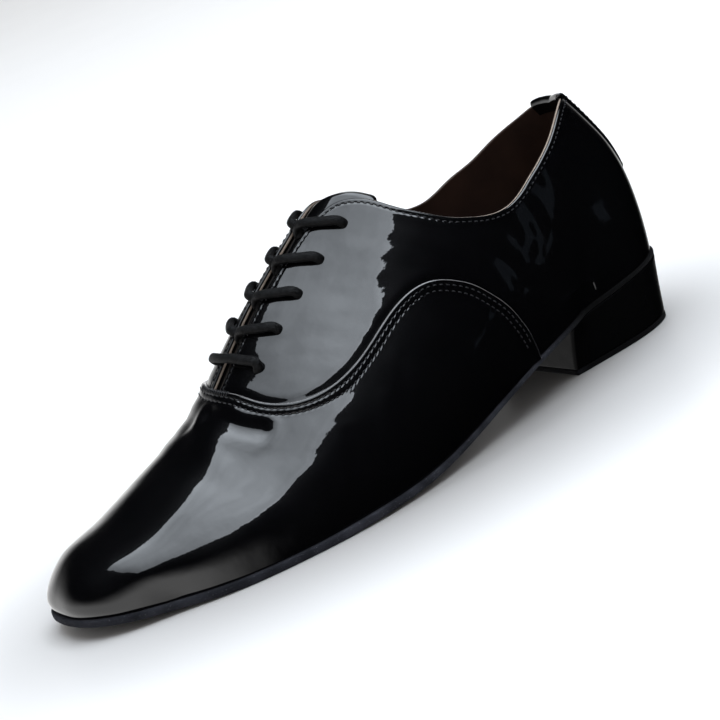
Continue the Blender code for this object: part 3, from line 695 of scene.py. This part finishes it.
def thread_piece(vamp_strip, edge_strip):
    skin = Skin()
    for depth in VAMP_STITCHES:
        row_of_stitches(skin, vamp_strip, depth, vamp_profile(np.array([depth]))[0], margin=0.010)
    row_of_stitches(skin, edge_strip, EDGE_STITCHES[0], 0.0, margin=0.001)
    # The bar at the foot of the throat.
    along = vamp_strip.along[-1] / 2 + np.linspace(-0.0085, 0.0085, 15)
    near, under = (read_line(along, vamp_strip.along, vamp_strip.chart([depth], 1)[:, 0])
                   for depth in (0.0009, 0.0015))
    dots = lifted(near, EDGE_HIGH + relief(near))
    ways = unit(lifted(under, EDGE_HIGH + relief(under)) - dots)
    stitches(skin, dots, ways, normal(near[:, 0], near[:, 1]), *BAR_STITCH)
    return skin.piece("thread")


def tongue_piece(rows=90, columns=80):
    down = np.linspace(0, 1, rows + 1)[:, None]
    across = np.linspace(-1, 1, columns + 1)
    half = TONGUE_HALF - 0.065 * smooth((down - 0.35) / 0.65)
    a = TONGUE_MIDDLE + (CENTRE - TONGUE_MIDDLE) * down + across * half
    s_top = spline(TONGUE_TOP[:, 0], TONGUE_TOP[:, 1])(TONGUE_MIDDLE + across * TONGUE_HALF)[:, 0]
    chart = np.stack([s_top + (TONGUE_FOOT - s_top) * down, a], -1)
    dots = point(chart[..., 0], chart[..., 1])
    edges = (dots[:1], dots[:, :1], dots[:, -1:])
    inward = np.min([np.linalg.norm(dots - edge, axis=-1) for edge in edges], axis=0)
    near = np.clip(1 - inward / (TONGUE / 2), 0, 1)
    thin = TONGUE / 2 * (1 - np.sqrt(1 - near ** 2))
    top = -WALL - TONGUE_GAP + relief(chart) * 0.4
    skin = Skin()
    outer = skin.grid(lifted(chart, top - thin))
    inner = skin.grid(lifted(chart, top - TONGUE + thin))
    skin.rims(outer, inner)
    return skin.piece("tongue_leather")


def strap_chart(across):
    """Chart line of the backstay from the topline down to its foot."""
    edge = LATERAL_EDGE if across <= 0 else MEDIAL_EDGE
    tail = edge[-6:]
    tail = tail[np.argsort(tail[:, 1])]
    a = 0.5 + across * STRAP_A
    chart = np.linspace((np.interp(a, tail[:, 1], tail[:, 0]), a), (STRAP_FOOT, a), 240)
    return chart, lengths(point(chart[:, 0], chart[:, 1]))


def down_strap(chart, run, depth):
    """Chart points of the strap at the given depths below the topline."""
    return between(chart[0], chart[-1], (depth / run[-1])[:, None])


def round_off(depth):
    """Share of its full height that the strap keeps, depth metres in from its edge."""
    return np.sqrt(1 - np.clip(1 - depth / STRAP, 0, 1) ** 2)


STRAP_PULL = 0.00012      # depth of the hollow along the strap's stitches


def strap_piece(columns=56, rows=100):
    skin = Skin()
    lines = []
    half_wide = lengths(point(np.full(40, 0.16), np.linspace(0.5, 0.5 + STRAP_A, 40)))[-1]
    side = np.array([0.95, 0.975, 0.992, 1])
    for across in np.concatenate([-side[::-1], np.linspace(-0.92, 0.92, columns), side]):
        chart, run = strap_chart(across)
        edge_high = round_off((1 - abs(across)) * half_wide)
        foot = run[-1] - np.array([0, 0.0001, 0.0003, 0.0006])
        depth = np.append(foot, np.linspace(run[-1] - 0.001, 0.0003, rows))
        proud = STRAP * edge_high * round_off(run[-1] - depth) + GAP / 2
        sa = down_strap(chart, run, depth)
        pull = np.exp(-((abs(across) - STRAP_ROW) / 0.05) ** 2)
        pull = STRAP_PULL * np.maximum(pull, np.exp(-((run[-1] - depth - STRAP_HEM) / 0.0005) ** 2))
        outside = lifted(sa, proud + relief(sa) - pull * edge_high)
        # Over the topline and down inside.
        up = -unit(point(*chart[5]) - point(*chart[0]))
        turn = np.linspace(0, np.pi, 13)[1:-1, None]
        radius = WALL / 2 + proud[-1]
        rim = lifted(chart[0], -WALL / 2) + radius * (np.cos(turn) * normal(*chart[0]) + np.sin(turn) * up)
        inside = lifted(down_strap(chart, run, np.linspace(0.0003, STRAP_INSIDE, 8)), -WALL - proud[-1])
        lines.append(np.concatenate([outside, rim, inside]))
    skin.grid(np.array(lines))
    return skin.piece("backstay_strap")


def strap_row(skin, sa):
    dots = lifted(sa, GAP / 2 + STRAP + relief(sa) - THREAD_SUNK)
    stitches(skin, dots, unit(np.gradient(dots, axis=0)), normal(sa[:, 0], sa[:, 1]), *STRAP_STITCH)


def strap_thread():
    """Stitches down both sides of the backstay and along its foot."""
    skin = Skin()
    for across in (-STRAP_ROW, STRAP_ROW):
        chart, run = strap_chart(across)
        strap_row(skin, down_strap(chart, run, np.arange(0.002, run[-1] - STRAP_HEM, PITCH)))
    foot = []
    for across in np.linspace(-STRAP_ROW, STRAP_ROW, 11):
        chart, run = strap_chart(across)
        foot.append(down_strap(chart, run, run[-1:] - STRAP_HEM)[0])
    strap_row(skin, np.array(foot))
    return skin.piece("backstay_thread")


# Lace

STRAND_STEP = 0.00028
WEAVE = 0.00125           # length of one rib of the weave
WEAVE_HIGH = 0.030        # its height, as a share of the lace's
END_DEEP = -0.0030        # where a hidden end stops, under the leather's face


def strand(skin, line, ups, sides=26):
    """Woven lace along a line: oval in section, with the ribs of its weave."""
    run = lengths(line)
    count = int(run[-1] / STRAND_STEP)
    fine = np.linspace(0, run[-1], count)
    smooth_line = spline(run, line)(fine)
    way = unit(np.gradient(smooth_line, axis=0))
    guide = unit(spline(run, ups)(fine))
    middle = count // 2
    up = np.empty_like(guide)
    up[middle] = unit(guide[middle] - way[middle] * (guide[middle] @ way[middle]))
    for order in (range(middle + 1, count), range(middle - 1, -1, -1)):
        for i in order:
            mixed = up[i - order.step] + 0.04 * guide[i]
            up[i] = unit(mixed - way[i] * (mixed @ way[i]))
    side = np.cross(way, up)
    turn = np.linspace(0, 2 * np.pi, sides, endpoint=False)
    lean = 2 * np.pi * fine[:, None] / WEAVE
    rib = np.maximum(np.sin(lean + 5 * turn), np.sin(lean - 5 * turn))
    swell = 1 + WEAVE_HIGH * rib + 0.02 * np.sin(fine / 0.0061)[:, None]
    wide = np.sign(np.cos(turn)) * np.abs(np.cos(turn)) ** 0.85 * LACE_WIDE / 2
    high = np.sin(turn) * LACE_HIGH / 2
    ring = side[:, None] * (wide * swell)[..., None] + up[:, None] * (high * swell)[..., None]
    skin.tube(smooth_line[:, None] + ring)


def laid(places):
    """A line through chart places with heights, and the leather's normal along it."""
    places = np.array(places, float)
    return lifted(places[:, :2], places[:, 2]), normal(places[:, 0], places[:, 1])


def straight_bar(near_eye, far_eye, rest):
    """Places of the first bar, with a hidden end behind each eyelet."""
    places = [(*(near_eye + [0.006, 0.012]), END_DEEP), (*(near_eye + [0.004, 0.004]), -0.0004)]
    places.append((*(near_eye + [0.001, 0.006]), rest * 0.9))
    for share in (0.14, 0.30, 0.5, 0.70, 0.86):
        s, a = between(near_eye, far_eye, share)
        places.append((s + 0.006 * np.sin(np.pi * share), a, rest + 0.0002))
    places.append((*(far_eye - [0, 0.006]), rest * 0.9))
    return places + [(*far_eye, -0.0004), (*far_eye, END_DEEP)]


def half_v(eye, middle, side, under, rest):
    """Places from an eyelet to the middle, where the strand dives under its partner."""
    reach = np.array([middle[0] + 0.004, CENTRE + side * 0.020])
    places = [(*eye, END_DEEP), (*eye, -0.0006), (*between(eye, middle, 0.07), rest * 0.85)]
    for share, high in ((0.25, 1.0), (0.5, 1.0), (0.75, 1.05)):
        s, a = between(eye, middle, share)
        places.append((s + 0.003 * np.sin(np.pi * share), a, rest * high))
    places.append((*between(eye, middle, 0.93), rest * 0.55 - under))
    return places + [(*between(middle, reach, 0.6), -0.0012 - under), (*reach, END_DEEP)]


def lace_piece():
    skin = Skin()
    rest = LACE_HIGH / 2 + 0.0003
    far_a = mirror([0.55, EYELET_A])[1]
    for row, (s, middle_s) in enumerate(zip(EYELET_S, LACE_MIDDLE_S)):
        near_eye = np.array([s, EYELET_A])
        far_eye = np.array([s + SKEW, far_a])
        middle = np.array([middle_s, CENTRE])
        if row == 0:
            strand(skin, *laid(straight_bar(near_eye, far_eye, rest)))
        else:
            strand(skin, *laid(half_v(near_eye, middle, 1, 0.0, rest)))
            strand(skin, *laid(half_v(far_eye, middle, -1, 0.0012, rest)))
    return skin.piece("lace_strands")


# Sole and heel

OUTLINE_STEPS = 260


def outline(inset=0.0):
    """Lateral and medial halves of the sole's outline in plan, back seam to toe."""
    lateral = evenly([(0, 0.5), (0, 0), (1, 0), (1, 0.5)], OUTLINE_STEPS)
    medial = lateral * [1, -1] + [0, 1]
    loop = np.concatenate([lateral, medial[::-1][1:-1]])
    dots = point(loop[:, 0], loop[:, 1])
    way = np.roll(dots, -1, 0) - np.roll(dots, 1, 0)
    for _ in range(6):
        way = way + (np.roll(way, 1, 0) + np.roll(way, -1, 0)) / 2
    out = unit(np.stack([way[:, 1], -way[:, 0]], -1))
    if (out * (dots[:, :2] - [LENGTH / 2, 0])).sum() < 0:
        out = -out
    reach = welt_at(dots[:, 0])[:, 1] - inset
    plan = dots[:, :2] + out * reach[:, None]
    return plan[:OUTLINE_STEPS + 1], np.concatenate([plan[:1], plan[OUTLINE_STEPS:][::-1]])


def sole_top(x):
    return rise(x) - GAP


def sole_bottom(x):
    z = np.maximum(rise(x) - welt_at(x)[:, 0], 0)
    return np.where((x > TREAD_START * LENGTH) & (z < TREAD_TOLERANCE), 0.0, z)


def loft(skin, rings, columns):
    """Closed solid from rings, top to bottom; a ring is a pair of lines, lateral and medial."""
    share = np.linspace(0, 1, columns + 1)[:, None]
    grids = []
    for i, (left, right) in enumerate(rings):
        add = skin.grid if i in (0, len(rings) - 1) else skin.points
        grids.append(add(between(left[:, None], right[:, None], share)))
    for one, other in zip(grids[:-1], grids[1:]):
        skin.rims(one, other)


def at_height(plan, z):
    return np.concatenate([plan, np.broadcast_to(z, len(plan))[:, None]], 1)


# Rings of each solid from its top down: share of the height, and inset of its rounded edge.
SOLE_RINGS = ((0, 0.0007), (0.06, 0.0003), (0.16, 0.0001), (0.35, 0), (0.65, 0), (0.84, 0.0001),
              (0.94, 0.0003), (1, 0.0007))
HEEL_RINGS = ((0, 0.0004), (0.015, 0.0001), (0.04, 0), (0.12, 0), (0.25, 0), (0.4, 0), (0.55, 0),
              (0.7, 0), (0.85, 0), (0.95, 0), (0.985, 0.0001), (1, 0.0005))
LIFT_RINGS = ((0, 0.0003), (0.1, 0), (0.6, 0), (0.9, 0.0001), (1, 0.0004))
RING_COLUMNS = 24
HEEL_CENTRE = np.array([0.034, 0.0])


def sole_piece():
    skin = Skin()
    rings = []
    for share, inset in SOLE_RINGS:
        halves = outline(inset)
        rings.append([at_height(half, between(sole_top(half[:, 0]), sole_bottom(half[:, 0]), share))
                      for half in halves])
    loft(skin, rings, RING_COLUMNS)
    return skin.piece("sole")


def heel_plans(count):
    """Seat and foot of each half of the heel, in plan."""
    foot_at = spline(HEEL_FOOT[:, 0], HEEL_FOOT[:, 1:])
    plans = []
    for half, side in zip(outline(), (1, -1)):
        front = int(np.argmax(half[:, 0] >= BREAST * LENGTH))
        share = (BREAST * LENGTH - half[front - 1, 0]) / (half[front, 0] - half[front - 1, 0])
        corner = between(half[front - 1], half[front], share)
        seat = np.concatenate([half[:front], [corner]])[::-1]
        run = lengths(seat)
        foot = foot_at(np.linspace(0, 1, count + 1)) * [LENGTH, side * BALL_WIDTH]
        plans.append((read_line(np.linspace(0, run[-1], count + 1), run, seat), foot))
    return plans


def heel_ring(plans, down, inset):
    sides = []
    for seat, foot in plans:
        plan = between(seat, foot, down ** 0.85)
        plan = plan - unit(plan - HEEL_CENTRE) * inset
        sides.append(at_height(plan, between(sole_bottom(seat[:, 0]) - GAP, LIFT, down)))
    return sides


def lift_ring(plans, down, inset):
    feet = [foot for _, foot in plans]
    return [at_height(foot - unit(foot - HEEL_CENTRE) * inset, LIFT * (1 - down)) for foot in feet]


def heel_pieces():
    plans = heel_plans(90)
    block = Skin()
    loft(block, [heel_ring(plans, *place) for place in HEEL_RINGS], RING_COLUMNS)
    lift = Skin()
    loft(lift, [lift_ring(plans, *place) for place in LIFT_RINGS], RING_COLUMNS)
    return block.piece("heel_body"), lift.piece("heel_tip")


# Materials

class Nodes:
    """A Principled material and short ways to add texture to it."""

    def __init__(self, name, colour, roughness, **sockets):
        self.material = bpy.data.materials.new(name)
        self.material.use_nodes = True
        self.tree = self.material.node_tree
        self.shader = self.tree.nodes["Principled BSDF"]
        self.shader.inputs["Base Color"].default_value = (*colour, 1)
        self.shader.inputs["Roughness"].default_value = roughness
        for key, value in sockets.items():
            self.shader.inputs[key.replace("_", " ")].default_value = value
        self.place = self.add("ShaderNodeTexCoord").outputs["Object"]
        self.bumped = None

    def add(self, kind, **settings):
        made = self.tree.nodes.new(kind)
        for key, value in settings.items():
            setattr(made, key, value)
        return made

    def link(self, start, end):
        self.tree.links.new(start, end)

    def noise(self, scale, detail=3.0, roughness=0.5):
        made = self.add("ShaderNodeTexNoise")
        made.inputs["Scale"].default_value = scale
        made.inputs["Detail"].default_value = detail
        made.inputs["Roughness"].default_value = roughness
        self.link(self.place, made.inputs["Vector"])
        return made.outputs["Fac"]

    def ramp(self, value, low, high, start=0.0, end=1.0):
        made = self.add("ShaderNodeMapRange")
        made.inputs["From Min"].default_value = low
        made.inputs["From Max"].default_value = high
        made.inputs["To Min"].default_value = start
        made.inputs["To Max"].default_value = end
        self.link(value, made.inputs["Value"])
        return made.outputs["Result"]

    def mix(self, share, one, other):
        made = self.add("ShaderNodeMix", data_type="RGBA")
        for value, socket in ((one, made.inputs[6]), (other, made.inputs[7])):
            if isinstance(value, tuple):
                socket.default_value = (*value, 1)
            else:
                self.link(value, socket)
        self.link(share, made.inputs[0])
        return made.outputs[2]

    def bump(self, height, distance, strength=1.0):
        made = self.add("ShaderNodeBump")
        made.inputs["Distance"].default_value = distance
        made.inputs["Strength"].default_value = strength
        self.link(height, made.inputs["Height"])
        if self.bumped:
            self.link(self.bumped, made.inputs["Normal"])
        self.bumped = made.outputs["Normal"]

    def feed(self, socket, value):
        self.link(value, self.shader.inputs[socket])

    def along(self):
        """x of the point, in metres."""
        made = self.add("ShaderNodeSeparateXYZ")
        self.link(self.place, made.inputs[0])
        return made.outputs["X"]

    def attribute(self, name):
        made = self.add("ShaderNodeAttribute", attribute_name=name)
        return made.outputs["Fac"]

    def finish(self, coat=False):
        if self.bumped:
            self.feed("Normal", self.bumped)
            if coat:
                self.feed("Coat Normal", self.bumped)
        return self.material


def patent():
    made = Nodes("patent_leather", (0.0022, 0.0022, 0.0025), 0.30,
                 Coat_Weight=1.0, Coat_Roughness=0.025, Coat_IOR=1.52, Specular_IOR_Level=0.05)
    made.bump(made.noise(95, 2.0), 0.00045, 0.22)
    made.bump(made.noise(420, 2.0), 0.00007, 0.25)
    made.feed("Roughness", made.ramp(made.noise(38, 4.0), 0.35, 0.75, 0.22, 0.42))
    # The vamp's turned edge is pale grey: partly a grey cut edge, partly a painted highlight standing in
    # for the edge's highlight line.
    cut_edge_and_painted_highlight = made.mix(made.attribute("tint"), (0.0012, 0.0012, 0.0015), (0.15, 0.145, 0.145))
    made.feed("Base Color", cut_edge_and_painted_highlight)
    return made.finish(coat=True)


def lining_leather():
    made = Nodes("lining_leather", (0.06, 0.032, 0.02), 0.62, Specular_IOR_Level=0.3)
    blotch = made.ramp(made.noise(60, 4.0), 0.3, 0.7)
    brown = made.mix(blotch, (0.017, 0.007, 0.0045), (0.034, 0.015, 0.009))
    tan = made.mix(made.ramp(made.noise(700, 3.0), 0.3, 0.7), (0.22, 0.165, 0.13), (0.34, 0.28, 0.23))
    made.feed("Base Color", made.mix(made.attribute("tint"), brown, tan))
    made.bump(made.noise(1500, 3.0), 0.00012, 0.6)
    return made.finish()


WAIST_DARK = -0.085       # x at which the sole's edge has turned black, under the heel seat
WAIST_SUEDE = -0.060


def suede(name, dark, light):
    made = Nodes(name, dark, 0.95, Specular_IOR_Level=0.06, Sheen_Weight=0.03, Sheen_Roughness=0.5)
    fibres = made.noise(1900, 4.0, 0.7)
    patches = made.noise(110, 3.0)
    base = made.mix(made.ramp(patches, 0.35, 0.7), dark, light)
    lint = made.ramp(made.noise(2300, 1.0, 0.5), 0.70, 0.74)
    napped = made.mix(lint, base, (0.12, 0.12, 0.13))
    waist = made.ramp(made.along(), WAIST_DARK, WAIST_SUEDE)
    made.feed("Base Color", made.mix(waist, (0.0015, 0.0015, 0.0018), napped))
    made.bump(fibres, 0.00035, 0.9)
    made.bump(made.noise(380, 2.0), 0.0004, 0.5)
    return made.finish()


def satin():
    made = Nodes("heel_satin", (0.0018, 0.0018, 0.002), 0.30, Specular_IOR_Level=0.03)
    made.feed("Roughness", made.ramp(made.noise(240, 3.0), 0.3, 0.7, 0.26, 0.40))
    made.bump(made.noise(900, 3.0), 0.00005, 0.5)
    return made.finish()


def cotton():
    made = Nodes("lace_cotton", (0.002, 0.002, 0.002), 0.50, Specular_IOR_Level=0.12,
                 Sheen_Weight=0.02, Sheen_Roughness=0.4)
    patches = made.ramp(made.noise(900, 3.0), 0.40, 0.7)
    made.feed("Base Color", made.mix(patches, (0.0004, 0.0004, 0.0005), (0.0055, 0.0055, 0.006)))
    made.bump(made.noise(1900, 2.0, 0.6), 0.00035, 0.9)
    return made.finish()


def thread_finish():
    made = Nodes("thread", (0.010, 0.010, 0.012), 0.38, Specular_IOR_Level=0.35)
    made.feed("Roughness", made.ramp(made.noise(3000, 2.0), 0.3, 0.7, 0.30, 0.48))
    made.bump(made.noise(5000, 2.0), 0.00006, 0.6)
    return made.finish()


def floor_with_painted_shadow():
    """Pale floor, with a painted shadow darkening it close round the shoe."""
    made = Nodes("floor", (0.90, 0.90, 0.90), 0.35, Specular_IOR_Level=0.30)
    drawn = made.add("ShaderNodeVectorMath", operation="MULTIPLY")
    drawn.inputs[1].default_value = (1.0, 1.7, 0.0)
    made.link(made.place, drawn.inputs[0])
    away = made.add("ShaderNodeVectorMath", operation="LENGTH")
    made.link(drawn.outputs[0], away.inputs[0])
    spread = made.ramp(away.outputs["Value"], 0.09, 0.26)
    # Painted shadow: the floor's colour is darker close round the shoe, fading to pale further out.
    made.feed("Base Color", made.mix(spread, (0.34, 0.327, 0.318), (0.92, 0.91, 0.90)))
    made.feed("Roughness", made.ramp(made.noise(14, 3.0), 0.3, 0.7, 0.30, 0.40))
    return made.finish()


def dress(made, material):
    made.data.materials.clear()
    made.data.materials.append(material)
    return made


# Stage

CAMERA_AT = np.array([0.5430, 0.8173, 0.2881])   # in the last's coordinates
AZIMUTH = 150.15
ELEVATION = 17.91
ROLL = -20.25
FRAME = 720               # pixels of the photo's side
PHOTO_FOCUS = 1800.0      # in those pixels
AIM = (237.0, 316.0)      # the shoe's middle in that frame
CLOSER = 1.38             # the shoe alone fills the frame


def camera():
    azimuth, elevation, turn = np.radians([AZIMUTH, ELEVATION, ROLL])
    back = np.array([np.sin(azimuth) * np.cos(elevation), -np.cos(azimuth) * np.cos(elevation),
                     np.sin(elevation)])
    right = unit(np.cross(-back, [0, 0, 1]))
    up = np.cross(right, -back)
    rolled_right = np.cos(turn) * right + np.sin(turn) * up
    rolled_up = -np.sin(turn) * right + np.cos(turn) * up
    across, down = (value - FRAME / 2 for value in AIM)
    aim = -back * PHOTO_FOCUS + rolled_right * across - rolled_up * down
    away = -unit(aim)
    new_right = unit(np.cross(rolled_up, away))
    new_up = np.cross(away, new_right)
    data = bpy.data.cameras.new("camera")
    data.sensor_width = 36.0
    data.lens = data.sensor_width * PHOTO_FOCUS * CLOSER / FRAME
    data.clip_start = 0.05
    data.clip_end = 30.0
    turned = Matrix((new_right, new_up, away)).transposed().to_4x4()
    turned.translation = Vector(CAMERA_AT - MIDDLE)
    made = put("camera", data)
    made.matrix_world = turned
    bpy.context.scene.camera = made


def softbox(name, centre, aim, size, radiance, colour=(1, 1, 1), glossy=True):
    data = bpy.data.lights.new(name, "AREA")
    data.shape = "RECTANGLE"
    data.size, data.size_y = size
    data.energy = radiance * np.pi * size[0] * size[1]
    data.color = colour
    made = put(name, data)
    made.location = centre
    made.rotation_mode = "QUATERNION"
    made.rotation_quaternion = (Vector(centre) - Vector(aim)).to_track_quat("Z", "Y")
    made.visible_camera = False
    made.visible_glossy = glossy


def sheet(name, dots, order):
    """One flat face; seen from its front, order runs counterclockwise."""
    mesh = bpy.data.meshes.new(name)
    mesh.from_pydata(dots, [], [order])
    return put(name, mesh)


KEY_HEIGHT = 2.6
KEY_CORNERS = ((-0.60, -0.37), (0.44, -0.31), (0.58, 0.69), (-0.60, 0.73))   # in KEY_HEIGHT
KEY_BRIGHT = 6.0          # at the heel's end, and at the toe's
KEY_DIM = 1.9
KEY_COLOUR = (0.85, 0.92, 1.0)
SIDE_CARD = 0.085         # strengths of the small card at the outer side and of the fill overhead
FILL = 0.12


def key_panel():
    """Broad diffuser overhead, brighter at the heel's end, its cloth a little uneven."""
    corners = [(x * KEY_HEIGHT, y * KEY_HEIGHT, KEY_HEIGHT) for x, y in KEY_CORNERS]
    made = sheet("key_panel", corners, (3, 2, 1, 0))
    cloth = Nodes("diffuser", (0, 0, 0), 1.0)
    fall = cloth.ramp(cloth.along(), 0.0, 0.5 * KEY_HEIGHT, KEY_BRIGHT, KEY_DIM)
    patches = cloth.ramp(cloth.noise(1.6, 3.0, 0.6), 0.30, 0.70, 0.86, 1.14)
    level = cloth.add("ShaderNodeMath", operation="MULTIPLY")
    cloth.link(fall, level.inputs[0])
    cloth.link(patches, level.inputs[1])
    glow = cloth.add("ShaderNodeEmission")
    glow.inputs["Color"].default_value = (*KEY_COLOUR, 1)
    cloth.link(level.outputs[0], glow.inputs["Strength"])
    cloth.link(glow.outputs[0], cloth.tree.nodes["Material Output"].inputs["Surface"])
    dress(made, cloth.finish())
    made.visible_camera = False


def lights():
    key_panel()
    softbox("side_card", (-1.6, 1.25, 0.10), (0, 0, 0.05), (0.35, 0.5), SIDE_CARD, (0.65, 0.80, 1.0))
    softbox("fill", (0, 0, 3.4), (0, 0, 0), (5, 5), FILL, (1.0, 0.90, 0.78), glossy=False)


EVEN_LIGHT = 0.62         # the surroundings as they light the shoe, and as the camera sees them
SEEN_LIGHT = 1.05


def world():
    """Even light, a white backdrop, and for reflections a low band behind and the ground ahead."""
    made = bpy.data.worlds.new("studio")
    made.use_nodes = True
    tree = made.node_tree
    for node in list(tree.nodes):
        tree.nodes.remove(node)

    def add(kind, sources=(), **settings):
        node = tree.nodes.new(kind)
        for key, value in settings.items():
            setattr(node, key, value)
        for source, socket in zip(sources, node.inputs):
            tree.links.new(source, socket)
        return node

    def fade(axis, start, end, top=1.0):
        """Climbs smoothly from 0 at start to top at end, along one axis of the direction seen."""
        node = add("ShaderNodeMapRange", [split.outputs[axis]], interpolation_type="SMOOTHSTEP")
        for socket, value in (("From Min", start), ("From Max", end), ("To Max", top)):
            node.inputs[socket].default_value = value
        return node.outputs["Result"]

    def reckon(operation, *sources):
        return add("ShaderNodeMath", sources, operation=operation).outputs[0]

    def background(level):
        node = add("ShaderNodeBackground")
        node.inputs["Color"].default_value = (1, 1, 1, 1)
        node.inputs["Strength"].default_value = level
        return node

    rays = add("ShaderNodeLightPath")
    split = add("ShaderNodeSeparateXYZ", [add("ShaderNodeTexCoord").outputs["Generated"]])
    band = reckon("MULTIPLY", fade("Z", 0.45, 0.05), fade("Y", -0.40, -0.82))
    ground = reckon("MULTIPLY", fade("Z", 0.60, 0.05, 1.5), fade("X", 0.0, 0.60))
    mirrored = background(0.0)
    tree.links.new(reckon("MAXIMUM", band, ground), mirrored.inputs["Strength"])
    shown = mirrored.outputs[0]
    for ray, level in (("Is Diffuse Ray", EVEN_LIGHT), ("Is Camera Ray", SEEN_LIGHT)):
        sources = [rays.outputs[ray], shown, background(level).outputs[0]]
        shown = add("ShaderNodeMixShader", sources).outputs[0]
    add("ShaderNodeOutputWorld", [shown])
    bpy.context.scene.world = made


def floor():
    made = sheet("floor", [(-4, -4, 0), (4, -4, 0), (4, 4, 0), (-4, 4, 0)], (0, 1, 2, 3))
    dress(made, floor_with_painted_shadow())
    made.visible_glossy = False


def build():
    camera()
    world()
    lights()
    floor()
    black = patent()
    cloth = cotton()
    threads = thread_finish()
    edge = suede("suede_sole", (0.012, 0.0125, 0.016), (0.028, 0.029, 0.036))
    vamp, vamp_strip = vamp_piece()
    quarters, edge_strip = quarter_piece()
    dress(vamp, black)
    dress(quarters, black)
    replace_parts(vamp, "upper")
    dress(lining_piece(edge_strip, vamp_strip), lining_leather())
    dress(thread_piece(vamp_strip, edge_strip), threads)
    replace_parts(dress(tongue_piece(), black), "tongue")
    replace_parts(dress(strap_piece(), black), "backstay")
    dress(strap_thread(), threads)
    lace = dress(lace_piece(), cloth)
    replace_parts(lace, *[f"lace_bar_{i + 1}" for i in range(len(EYELET_S))])
    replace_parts(dress(sole_piece(), edge), "outsole")
    block, tip = heel_pieces()
    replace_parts(dress(block, satin()), "heel_block")
    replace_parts(dress(tip, edge), "heel_lift")
    dress(frame["nodes"]["insole"], lining_leather())


build()
bpy.context.scene.view_settings.view_transform = "Standard"
